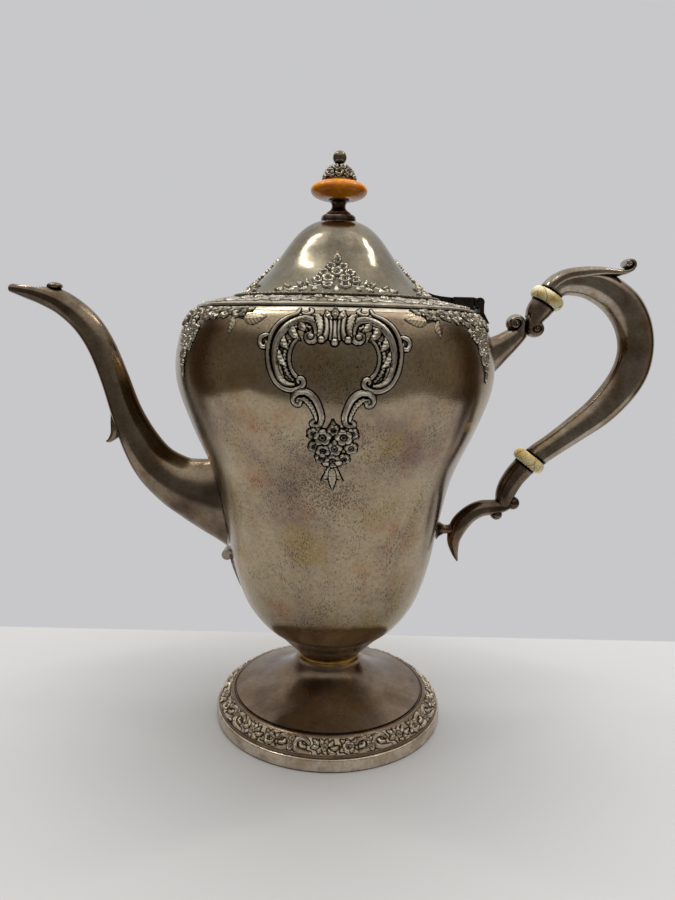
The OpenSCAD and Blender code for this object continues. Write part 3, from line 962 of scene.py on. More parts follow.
BODY_SILVER = TarnishedSilver(
    "spun_silver_body", "#AF9F86", "#837066", "#9F8A58", "#A47858",
    film_low=0.42, film_high=0.74, patch_mm=36, ticks=0.62,
)
RELIEF_SILVER = TarnishedSilver(
    "chased_silver", "#E4DDD0", "#B5AB9C", "#BDAF92", "#AC9F93", patch_mm=9, rough=0.3, recess_mm=1.0
)
SPRAY_SILVER = TarnishedSilver(
    "wiped_chased_silver", "#F2ECDF", "#CCC2B0", "#D2C4A2", "#C8BBAA",
    patch_mm=9, rough=0.26, recess_mm=1.0, recess=0.8,
)
LEAF_SILVER = TarnishedSilver(
    "engraved_silver", "#BBAE98", "#97887A", rose="#A08C7C", patch_mm=9, rough=0.25
)
FOOT_SILVER = TarnishedSilver(
    "brown_silver_foot", "#917F6E", "#705E50", "#866A48", "#7C655B", patch_mm=18, rough=0.28
)
FOOT_RELIEF = TarnishedSilver(
    "stamped_silver_foot", "#DFD2C0", "#BDAD98", "#C0AC8C", "#B4A190", "#30241A",
    patch_mm=7, rough=0.3, recess_mm=1.0,
)
GILT_SILVER = TarnishedSilver(
    "yellowed_silver", "#B08F50", "#7A5A28", "#C09A4A", patch_mm=9, rough=0.24
)
BRIGHT_SILVER = TarnishedSilver(
    "wiped_silver_lid", "#968E7E", "#756D60", "#847859", "#887D70", patch_mm=20, rough=0.15
)
CAST_SILVER = TarnishedSilver(
    "cast_silver_handle", "#B8AD9E", "#7E6D5E", "#86704C", "#92705C",
    patch_mm=26, rough=0.17, recess_mm=1.8,
)
DARK_SILVER = TarnishedSilver(
    "dark_cast_silver", "#998A78", "#54453A", "#6A5234", "#7E5642",
    patch_mm=34, rough=0.16, recess_mm=1.8,
)
HINGE_SILVER = TarnishedSilver(
    "oxidised_hinge_silver", "#4E4943", "#2B2723", "#4A4032", "#3B3432", patch_mm=5, rough=0.3
)
STEM_SILVER = TarnishedSilver(
    "blackened_stem_silver", "#9A8C80", "#4A362C", "#5A3C28", "#3A241E",
    film_low=0.36, film_high=0.6, patch_mm=5, rough=0.22,
)
STEEL = TarnishedSilver(
    "turned_steel", "#9A9A98", "#77746F", "#7C7468", "#77716D", patch_mm=4, rough=0.28
)
IVORY = AgedIvory()
RESIN = ButterscotchResin()


# ---------------------------------------------------------------- the pot


def softened(corners: Points, radius: float, pieces: int = 4) -> Array:
    """Closed polygon whose corners are rounded with short quadratic curves.

    A corner P between A and B becomes (1-t)^2 a + 2 t (1-t) P + t^2 b, with a and b on
    the two sides, at most the radius and 0.45 of the side away from P.

    Args:
        corners: its corners.
        radius: how far the rounding reaches.
        pieces: steps on a rounded corner.

    Returns:
        The points of the softened polygon.
    """
    p = np.asarray(corners, float)
    before, after = np.roll(p, 1, axis=0), np.roll(p, -1, axis=0)
    to_a, to_b = before - p, after - p
    len_a, len_b = (np.maximum(np.hypot(*v.T), 1e-9)[:, None] for v in (to_a, to_b))
    a = p + to_a / len_a * np.minimum(radius, 0.45 * len_a)
    b = p + to_b / len_b * np.minimum(radius, 0.45 * len_b)
    t = np.linspace(0, 1, pieces + 1)[None, :, None]
    arcs = (1 - t) ** 2 * a[:, None] + 2 * t * (1 - t) * p[:, None] + t**2 * b[:, None]
    return arcs.reshape(-1, 2)


def set_upright(shape: Shape, at: Points, tilt: float) -> Shape:
    """Turns a shape about Y by a tilt and moves it to X and Z of a place."""
    a = math.radians(tilt)
    x, y, z = shape.verts.T
    across, up = x * math.cos(a) + z * math.sin(a), z * math.cos(a) - x * math.sin(a)
    shape.verts = np.stack([at[0] + across, y, at[1] + up], axis=1)
    return shape


def shade_by_ring(shape: Shape, at: Points, tilt: float, half: float) -> Shape:
    """Paints shade against a ring: a darkening that fades within about 1.5 mm of it.

    With s the distance along the ring's axis past its face, the mark is
    0.95 exp(-(s / 1.5)^2), within 9 mm of the axis.

    Args:
        shape: shape to mark.
        at: X and Z of the ring's middle.
        tilt: its axis, in degrees from +Z towards +X.
        half: half its thickness.

    Returns:
        The same shape.
    """
    a = math.radians(tilt)
    x, _, z = shape.verts.T
    along = (x - at[0]) * math.sin(a) + (z - at[1]) * math.cos(a)
    across = (x - at[0]) * math.cos(a) - (z - at[1]) * math.sin(a)
    darkest, fade, reach = 0.95, 1.5, 9
    # painted shade: the metal goes dark where it meets the ring's face
    dirt_and_shade = darkest * np.exp(-(((np.abs(along) - half) / fade) ** 2))
    shape.darken(dirt_and_shade * (np.abs(across) < reach))
    return shape


# ---------------------------------------------------------------- chased and stamped work


@dataclass
class Cartouche:
    """Scrolled panel on the front and back of the body, with its flower drop.

    Strokes are rows of u, v and half width, in millimetres from the panel's centre line
    and from the mouth's edge.
    """

    outer_wire: Points = (
        (-12.4, 1.6, 0.35), (-13.6, 3.9, 0.5), (-17, 5.7, 0.6), (-20.6, 8.8, 0.6), (-22.9, 13.2, 0.65),
        (-23.7, 19, 0.65), (-22.7, 24.6, 0.65), (-20.1, 28.9, 0.7), (-16.5, 31.0, 0.8), (-13, 31.0, 0.8),
        (-10.8, 29.6, 0.8), (-10.5, 27.9, 0.75), (-11.5, 26.9, 0.65), (-12.5, 27.5, 0.55),
        (-12.2, 28.4, 0.45),
    )
    bud: Points = (
        (-11.4, 3.4, 0.3), (-10.2, 4.0, 0.5), (-8.7, 3.6, 0.6), (-8.0, 2.3, 0.55), (-8.6, 1.3, 0.4)
    )
    band: Points = (
        (-8.4, 11.6, 0.6), (-9.6, 12.2, 0.8), (-9.2, 13.8, 0.9), (-7.6, 14.2, 1.0), (-6.3, 12.6, 1.1),
        (-6.1, 9.6, 1.25), (-7.5, 7.0, 1.3), (-10, 6.1, 1.3), (-13.3, 6.9, 1.25), (-16.6, 9.0, 1.25),
        (-19.2, 12.4, 1.25), (-20.7, 16.3, 1.15), (-20.9, 20.5, 1.05), (-20.1, 24.4, 0.95),
        (-18.6, 27.6, 1.0), (-16, 29.2, 0.75), (-13.9, 29.3, 0.4),
    )
    hollow_leaf: Points = (
        (-8.7, 9.4, 0.5), (-10.4, 8.7, 0.75), (-12.8, 8.9, 0.75), (-15.2, 9.9, 0.5), (-17, 11.2, 0.25)
    )
    inner_wire: Points = (
        (-12.9, 13.6, 0.4), (-14.6, 15.8, 0.45), (-15.6, 19, 0.5), (-15.4, 22.4, 0.5), (-14.3, 25.0, 0.5),
        (-13.0, 26.4, 0.5),
    )
    ladder: Points = (
        (-15.6, 14.6, 0.5), (-17.2, 18, 0.75), (-17.3, 22, 0.8), (-16.2, 25.4, 0.75), (-14.3, 27.6, 0.5)
    )
    ear: Points = (
        (-23.2, 12.4, 0.35), (-24.6, 12.3, 0.6), (-26.4, 13.3, 0.7), (-26.9, 15.1, 0.7),
        (-25.8, 16.6, 0.65), (-24.3, 16.1, 0.55), (-24.3, 14.9, 0.45),
    )
    lower_band: Points = (
        (-11.4, 35.2, 0.5), (-12.2, 36.5, 0.7), (-13.7, 35.6, 0.8), (-13.9, 33.5, 0.85),
        (-12.0, 31.8, 0.95), (-9.0, 31.9, 1.05), (-6.4, 34.1, 1.05), (-4.8, 37.6, 0.95), (-4.0, 41, 0.85),
        (-4.7, 43.8, 0.75), (-6.5, 44.5, 0.7), (-7.6, 43.3, 0.6), (-6.8, 42.4, 0.45),
    )
    lower_leaf: Points = (
        (-11.7, 34.2, 0.4), (-9.9, 34.5, 0.8), (-7.8, 36.6, 0.9), (-6.4, 39.6, 0.7), (-5.8, 42.2, 0.35)
    )
    acanthus: Points = (
        (-16.4, 29.0, -19.6, 22.4), (-16.2, 23.2, -20.0, 17.2), (-15.6, 17.6, -18.6, 11.4),
        (-11.8, 14.0, -15.2, 8.2), (-9.4, 10.8, -12.0, 6.6),
    )
    flutes: tuple[Points, ...] = (
        (
            (-7.3, 4.4, 0.5), (-6.2, 5.0, 1.3), (-5.3, 7.4, 1.7), (-4.9, 10.0, 1.3), (-5.3, 12.4, 0.9),
            (-4.6, 13.5, 0.9),
        ),
        ((-3.4, 4.4, 0.5), (-2.9, 7.4, 0.8), (-2.7, 10.4, 0.85), (-3.4, 12.8, 0.9), (-4.3, 13.7, 0.9)),
        ((-1.5, 4.8, 0.5), (-1.35, 8, 0.6), (-1.2, 11, 0.6), (-1.4, 13.2, 0.6)),
    )
    centre_flute: Points = ((0, 4, 0.75), (0, 8, 0.6), (0, 12, 0.75), (0, 14.2, 0.9))
    flowers: Points = (
        (-6.9, 47.2, 2.2, 0.2), (6.9, 47.0, 2.2, 0.9), (0.2, 45.6, 2.2, 0.7), (-3.9, 57.4, 2.4, 0.3),
        (4.2, 57.6, 2.2, 0.8), (0.6, 53.2, 3.0, 0.2), (-6.4, 52.6, 2.3, 1.1), (6.6, 53.0, 2.4, 0.5),
        (-3.6, 48.8, 3.3, 0.3), (3.9, 48.6, 3.3, 0.6), (-3.4, 54.2, 2.6, 0.9), (0.1, 58.6, 3.0, 0.5),
    )

    def carve(self, sheet: Chasing) -> None:
        """Works the whole panel, back to front."""
        sheet.stroke(self.ladder, 0.4, 0, 0.55, True)
        sheet.stroke(self.hollow_leaf, 0.45, 0, 0.5, True)
        sheet.leaves(self.acanthus, 1.5, 0.16, 0.95, sides=BOTH)
        for wire, high in (
            (self.inner_wire, 0.75), (self.bud, 0.7), (self.ear, 0.9), (self.outer_wire, 0.95)
        ):
            sheet.stroke(wire, high, mirror=True)
        sheet.stroke(self.band, 1.25, 1, 0, True)
        for side in BOTH:
            sheet.bead(8.2 * side, 12.7, 1.15, 1.25)
            sheet.bead(12.2 * side, 34.9, 1.0, 1.0)
        sheet.stroke(self.lower_leaf, 0.8, 0, 0.3, True)
        sheet.stroke(self.lower_band, 1.05, 1, 0, True)
        for row, teeth in zip(self.flutes, (0.3, 0.0, 0.0)):
            sheet.stroke(row, 1.05, 0, teeth, True)
        sheet.stroke(self.centre_flute, 1.1)
        for u, v, size, high in ((0, 14.5, 1.25, 1.35), (4.6, 13.6, 1.2, 1.2), (-4.6, 13.6, 1.2, 1.2)):
            sheet.bead(u, v, size, high)
        sheet.leaves(((3.2, 1.9, 0.9, 6.4),), 1.25, 0.08, 0.95, sides=BOTH)
        sheet.leaf(0, 0.6, 0, 6.6, 1.35, 0, 1.15)
        sheet.leaf(0, 41.8, 0, 46.4, 1.1, 0, 0.8)
        for side in BOTH:
            sheet.leaf(9.2 * side, 48.6, 4.5 * side, 48.2, 1.2, 0, 0.7)
            sheet.leaf(6.2 * side, 44.6, 3.5 * side, 48.0, 1.1, 0, 0.7)
            sheet.leaf(7.4 * side, 54.0, 4.0 * side, 51.0, 1.1, 0, 0.7)
            sheet.leaf(4.9 * side, 59.6, 2.0 * side, 56.5, 1.0, 0, 0.7)
        for u, v, size, turn in self.flowers:
            sheet.flower(u, v, size, 5, turn, 1.25)
        for u, v, size in ((-2.3, 59.7, 1.3), (2.3, 59.2, 1.4), (0.2, 60.6, 1.1), (0.8, 50.6, 0.9)):
            sheet.bead(u, v, size, 0.9)
        sheet.leaves(((3.9, 67.4, 0.6, 61.0),), 1.35, 0.12, 0.85, sides=BOTH)
        sheet.leaf(0.2, 71.2, 0, 61.2, 1.5, 0, 1.0)


@dataclass
class Garland:
    """Flowers, leaves and tendrils that run round the shoulder over spout and handle."""

    # distance round from the front's centre line, and how far down the garland reaches there
    low_edge: Points = ((37, 2), (42, 4.6), (50, 5.4), (55, 8.6), (60, 12.2), (63, 16.4))
    full_from: float = 63.0
    full_depth: float = 10.0
    leaf_from: float = 38.5
    leaf_pitch: tuple[float, float] = (3.9, 4.0)
    leaf_reach: float = 3.4
    flower_from: float = 42.0
    flower_pitch: tuple[float, float] = (7.4, 6.0)
    pendant_at: float = 67.5
    pendant_rows: Points = ((9, 8.5), (12.5, 7.5), (16, 5.8), (19.5, 3.8), (23, 2.4))
    pendant_pitch: float = 3.2
    pendant_reach: float = 3.2
    pendant_flowers: Points = (
        (-5.5, 11.5, 2.6), (5.4, 11.2, 2.6), (0, 9.8, 3.0), (-2.8, 15.4, 2.7), (3.2, 15.8, 2.5),
        (0.2, 20.0, 2.4), (0.1, 23.8, 1.6),
    )

    def depth(self, u: float) -> float:
        """How far down the garland reaches at a distance from the front's centre line."""
        if u < self.full_from:
            return float(np.interp(u, *np.array(self.low_edge).T))
        return self.full_depth

    def carve(self, sheet: Chasing, half_round: float) -> None:
        """Works one side's garland on a sheet whose u = 0 faces the spout or the handle.

        Args:
            sheet: sheet to work on.
            half_round: u at which the front's centre line lies, on this sheet.
        """
        pick = np.random.default_rng(11)
        top, end, reach = 0.5, half_round + 3, self.leaf_reach
        for side in BOTH:
            for u in np.arange(self.leaf_from, end, self.leaf_pitch[0]):
                at = side * (half_round - u)
                for v in np.arange(1.9, max(self.depth(u) - 1.2, 2.4), self.leaf_pitch[1]):
                    du, dv = pick.uniform(-0.7, 0.7), pick.uniform(-0.5, 0.5)
                    lean = pick.uniform(0, 6.28)
                    across, down = math.cos(lean), math.sin(lean)
                    tip = at + du + reach * across, max(v + dv + reach * down, top)
                    base = at + du - across, max(v + dv - down, top)
                    sheet.leaf(*tip, *base, 1.5, pick.uniform(-0.15, 0.15), 0.75)
            for u in np.arange(self.flower_from, end, self.flower_pitch[0]):
                at = side * (half_round - u)
                for v in np.arange(3.2, max(self.depth(u) - 1.0, 3.4), self.flower_pitch[1]):
                    du, dv = pick.uniform(-0.8, 0.8), pick.uniform(-0.6, 0.6)
                    sheet.flower(at + du, v + dv, 2.8, 5, pick.uniform(0, 1), 0.95)
            self.hang_pendant(sheet, side * (half_round - self.pendant_at), pick)

    def hang_pendant(self, sheet: Chasing, centre: float, pick: np.random.Generator) -> None:
        """Works the pendant that hangs beside the spout or the handle.

        Args:
            sheet: sheet to work on.
            centre: u of its middle.
            pick: source of its random leans and turns.
        """
        reach = self.pendant_reach
        for v, wide in self.pendant_rows:
            for du in np.arange(-wide + 1.2, wide - 0.6, self.pendant_pitch):
                lean = math.pi / 2 + 0.5 * du / wide + pick.uniform(-0.7, 0.7)
                tip = centre + du + reach * math.cos(lean), v + reach * math.sin(lean)
                sheet.leaf(*tip, centre + du, v - 0.8, 1.4, 0.1, 0.75)
        for u, v, size in self.pendant_flowers:
            sheet.flower(centre + u, v, size, 5, pick.uniform(0, 1), 1.0)
        sheet.leaf(centre, 29.4, centre, 24.6, 1.2, 0, 0.8)


@dataclass
class Vessel:
    """Spun body, its mouth ring and neck collar, and the chased work on them."""

    belly_r: float = 68.2
    wall: float = 1.2
    mouth_r: float = 54.2
    rim_r: float = 59.4
    skirt: float = 7.0
    shell_top: float = 182.0
    mouth_z: float = 183.5
    shoulder_z: float = 174.0
    profile: Points = (
        (16.5 / 68.2, 31.6), (0.345, 38.8), (0.462, 45.9), (0.571, 57), (0.65, 74), (0.698, 92),
        (0.772, 114), (0.898, 134), (0.982, 150), (1, 161), (0.974, 172), (0.934, 178.6), (0.895, 182),
    )

    def outline(self, pieces: int = 12) -> Array:
        """Outer outline from the neck up to the shoulder."""
        return blend_curve(np.asarray(self.profile) * [self.belly_r, 1], pieces)

    def radius(self, z: Array) -> Array:
        """Outer radius at a height."""
        line = np.vstack([self.outline(), [[self.rim_r, self.mouth_z]]])
        return np.interp(z, line[:, 1], line[:, 0])

    def hug(self, shape: Shape, depth: float = 0.6) -> Shape:
        """Pulls what would lie inside the body out into the middle of its wall.

        A vertex nearer the axis than R(z) - depth is moved straight out to it.
        """
        x, y, z = shape.verts.T
        r = np.hypot(x, y)
        least = self.radius(z) - depth
        grow = np.where(r < least, least / np.maximum(r, 1e-6), 1.0)
        shape.verts = np.stack([x * grow, y * grow, z], axis=1)
        shape.marks["hollow"] = np.clip(0.8 * np.exp(-np.abs(r - least - depth) / 0.9), 0, 1)
        return shape

    def ground(self, facing: float) -> Ground:
        """The surface that relief stands on, from the mouth's edge downwards."""
        line = np.vstack([[[self.rim_r, self.mouth_z]], self.outline()[::-1]])
        return Ground(line, facing)

    def build(self) -> None:
        """Makes the plain pieces of the body."""
        outer = self.outline()
        inner = outer + left_of(outer) * self.wall
        seat = [[inner[-1, 0] - 0.6, self.shell_top]]
        loop = np.vstack([[[0, outer[0, 1]]], outer, seat, inner[::-1], [[0, inner[0, 1] + self.wall]]])
        make_piece("body_wall", revolve(loop, 320), Body.POT, BODY_SILVER, "silver", "body_shell")
        low = self.mouth_z - self.skirt
        ring = softened(
            (
                (self.mouth_r, low), (self.mouth_r + 1, low), (self.mouth_r + 1.2, self.shell_top),
                (outer[-1, 0], self.shell_top), (self.rim_r, self.mouth_z), (self.mouth_r, self.mouth_z),
            ),
            0.35,
        )
        make_piece("mouth_rim", revolve(ring, 320), Body.POT, RELIEF_SILVER, "silver", "mouth_ring")
        cove = blend_curve(((14.7, 27.2), (14.1, 28.6), (14.6, 30.2), (16.5, 31.6)), 8)
        loop = np.vstack([cove, [[11.5, 31.6], [11.5, 27.2]]])
        make_piece("neck_cove", revolve(loop, 160), Body.POT, GILT_SILVER, "silver_gilt", "neck_collar")

    def chase(self) -> None:
        """Makes the two scrolled panels, the single leaves beside them and the garlands."""
        half = 2 * math.pi * float(self.radius(np.array([self.shoulder_z]))) / 4
        for name, facing in (("front", -90.0), ("back", 90.0)):
            sheet = Chasing((-43, 43), (0.3, 72.5), 0.25)
            Cartouche().carve(sheet)
            shell = sheet.shell(self.ground(facing), 1.0)
            make_piece(f"{name}_chased_panel", shell, Body.POT, RELIEF_SILVER, "silver")
            sheet = Chasing((-43, 43), (0.3, 14), 0.25)
            for side in BOTH:
                sheet.leaf(25.0 * side, 5.4, 34.4 * side, 6.4, 2.7, 0.03, 0.34)
                sheet.leaf(40.6 * side, 12.4, 39.6 * side, 5.6, 2.2, 0.03, 0.34)
                sheet.flower(35.6 * side, 3.6, 1.7, 5, 0.4, 0.4)
            sheet.stroke(((34.4, 6.2, 0.25), (37, 5.6, 0.25), (40, 5.2, 0.25)), 0.3, mirror=True)
            shell = sheet.shell(self.ground(facing), 0.6)
            make_piece(f"{name}_chased_leaves", shell, Body.POT, LEAF_SILVER, "silver")
        plain = 33
        for name, facing in (("spout", 180.0), ("handle", 0.0)):
            sheet = Chasing((-half + plain, half - plain), (0.3, 31), 0.3)
            Garland().carve(sheet, half)
            shell = sheet.shell(self.ground(facing), 0.9)
            make_piece(f"{name}_side_garland", shell, Body.POT, RELIEF_SILVER, "silver")


@dataclass
class Foot:
    """Domed foot with its stamped border and the wire that it stands on."""

    wall: float = 1.1
    rim_r: float = 51.8
    rim_h: float = 5.6
    cone: Points = ((14.7, 27.2), (15.6, 24.6), (18.4, 21.6), (24, 18.4), (32, 15.3), (42.8, 12.3))
    border: Points = ((42.8, 11.6), (43.4, 11.3), (44.1, 11.9), (45, 11.4), (50.6, 6.8), (50.9, 5.6))
    scroll: Points = (
        (2.6, 2.8, 0.6), (1.4, 1.6, 0.75), (-0.5, 1.1, 0.9), (-2.5, 1.9, 1.0), (-3.3, 3.7, 1.0),
        (-2.4, 5.4, 0.95), (0.2, 6.2, 0.8), (3.6, 6.5, 0.55),
    )
    scroll_eye: Points = ((-0.8, 3.0, 0.6), (-0.3, 4.2, 0.8), (1.2, 4.4, 0.7))
    sprays: Points = (
        (-1.8, 0.9, 0.8, 3.6), (1.2, 0.6, 2.2, 3.4), (4.2, 0.6, 3.4, 3.6), (6.8, 1.1, 4.8, 3.8),
        (9.2, 3.4, 5.6, 4.4), (7.8, 6.5, 4.6, 4.8), (4.2, 6.9, 3.4, 4.4), (1.0, 6.6, 1.8, 4.2),
        (-2.2, 4.4, 1.0, 4.2), (9.8, 1.0, 12.0, 3.5), (9.4, 5.9, 12.0, 4.5), (12.6, 0.6, 13.0, 3.2),
        (12.8, 7.0, 13.0, 4.8), (16.6, 0.9, 14.2, 3.2), (16.8, 6.5, 14.2, 4.8),
    )

    def build(self) -> None:
        """Makes the cone, the border strip and the wire."""
        outer = blend_curve(self.cone, 12)
        under = outer + left_of(outer) * -self.wall
        under = under[under[:, 0] < 42.2]
        loop = np.vstack([outer, [[42.8, 12.3 - self.wall]], under[::-1], [[under[0, 0], 27.2]]])
        make_piece("foot_cone", revolve(loop, 256), Body.POT, FOOT_SILVER, "silver_dark", "foot_shell")
        strip = softened((*self.border, (49.4, 5.6), (44.4, 9.9), (42.8, 10.6)), 0.3)
        strip = revolve(strip, 256)
        make_piece("foot_border_strip", strip, Body.POT, FOOT_SILVER, "silver_dark", "foot_border")
        r, top = self.rim_r, self.rim_h
        wire = softened(((49.4, 0), (r, 0), (r, 5.0), (r - 0.5, top), (49.4, top)), 0.8)
        make_piece("foot_wire", revolve(wire, 256), Body.POT, FOOT_RELIEF, "silver_dark", "foot_rim")

    def stamp(self) -> None:
        """Makes the border's relief: nine repeats of a scroll, sprays, a flower and a scroll."""
        line = np.array([(45.0, 11.4), (50.6, 6.8)])
        repeats, middle, seam = 9, 47.8, 0.17
        pitch = 2 * math.pi * middle / repeats
        sheet = Chasing((-math.pi * middle, math.pi * middle - seam), (0.1, 7.1), 0.28, 0.44)
        for k in range(-5, 6):
            o = (k - 0.12) * pitch
            for place, side in ((o - 6.0, 1), (o + 19.0, -1)):
                sheet.stroke(shifted(self.scroll, place, side), 0.85, 1)
                sheet.stroke(shifted(self.scroll_eye, place, side), 0.75)
            sheet.leaves(self.sprays, 1.05, 0.12, 0.65, o)
            sheet.flower(o + 13.0, 4.0, 2.6, 5, 0.4, 0.9)
            sheet.flower(o + 3.2, 4.0, 1.5, 5, 0.1, 0.8)
            for v, turn in ((1.6, 1.57), (5.2, -1.57)):
                sheet.flower(o - 10.8, v, 1.4, 3, turn, 0.75)
        shell = sheet.shell(Ground(line, round_at=middle), 3.0)
        make_piece("foot_border_relief", shell, Body.POT, FOOT_RELIEF, "silver_dark")


@dataclass
class Spout:
    """Swan-neck spout with its spur, its open mouth and the bump above it."""

    stations: Points = (
        (-44, 100.5, 23, 11.5), (-53, 101.8, 18.2, 10.6), (-61.8, 104.2, 14.6, 9.8),
        (-70.2, 107.9, 12.1, 9), (-79.2, 115, 10.1, 8.2), (-86, 125.1, 8.5, 7.5), (-91.7, 138, 6.9, 6.8),
        (-96.6, 152.8, 6.2, 6.3), (-102, 166.6, 6, 6), (-108.5, 176.7, 5.8, 5.8),
        (-117.2, 184.2, 5.3, 5.6), (-126, 188.2, 4.6, 5.4), (-134, 190, 3.4, 4.9),
        (-140.4, 190.8, 1.8, 3),
    )
    spur: Points = (
        (-94.6, 147, 1.6, 2.0), (-96.0, 140, 2.6, 3.0), (-96.2, 133.6, 3.0, 3.2),
        (-97.2, 128.6, 2.2, 2.6), (-99.6, 125.6, 1.1, 1.6), (-101.2, 124.9, 0.5, 0.8),
    )
    mouth_x: float = -130.6
    mouth_half: Points = (8.2, 3.9)

    def open_mouth(self, shape: Shape, path: Array) -> Shape:
        """Sinks an oval trough into the top of the tip.

        Inside the oval, with e = (dx/a)^2 + (y/b)^2 < 1, the top is drawn towards 0.55 of
        the half height under the path by the share (1 - e)^0.35.

        Args:
            shape: the spout.
            path: rows of X, Z, half height and half width that it was swept along.

        Returns:
            The same shape, with the trough marked as hollow.
        """
        x, y, z = shape.verts.T
        order = np.argsort(path[:, 0])
        middle = np.interp(x, path[order, 0], path[order, 1])
        half = np.interp(x, path[order, 0], path[order, 2])
        e = ((x - self.mouth_x) / self.mouth_half[0]) ** 2 + (y / self.mouth_half[1]) ** 2
        share = np.where(z > middle + 0.1 * half, np.clip(1 - e, 0, 1) ** 0.35, 0)
        floor = middle - 0.55 * half
        shape.verts = np.stack([x, y, z + share * (floor - z)], axis=1)
        shape.darken(np.clip(1.3 * share, 0, 1) * (e < 0.98))
        return shape

    def build(self, vessel: Vessel) -> None:
        """Makes the spout, with its base drawn into the body's wall."""
        path = even_steps(blend_curve(self.stations, 10), 0.9)
        neck = vessel.hug(sweep(path, panelled_section(96, 0.12, 0.12, (2.0, 1.4))))
        neck = self.open_mouth(neck, path)
        spur = sweep(blend_curve(self.spur, 8), round_section(24))
        bump = ellipsoid((-121.6, 0, 192.0), (3.4, 3.2, 1.7))
        shape = joined([neck, spur, bump])
        make_piece("spout_neck", shape, Body.POT, DARK_SILVER, "silver", "spout")


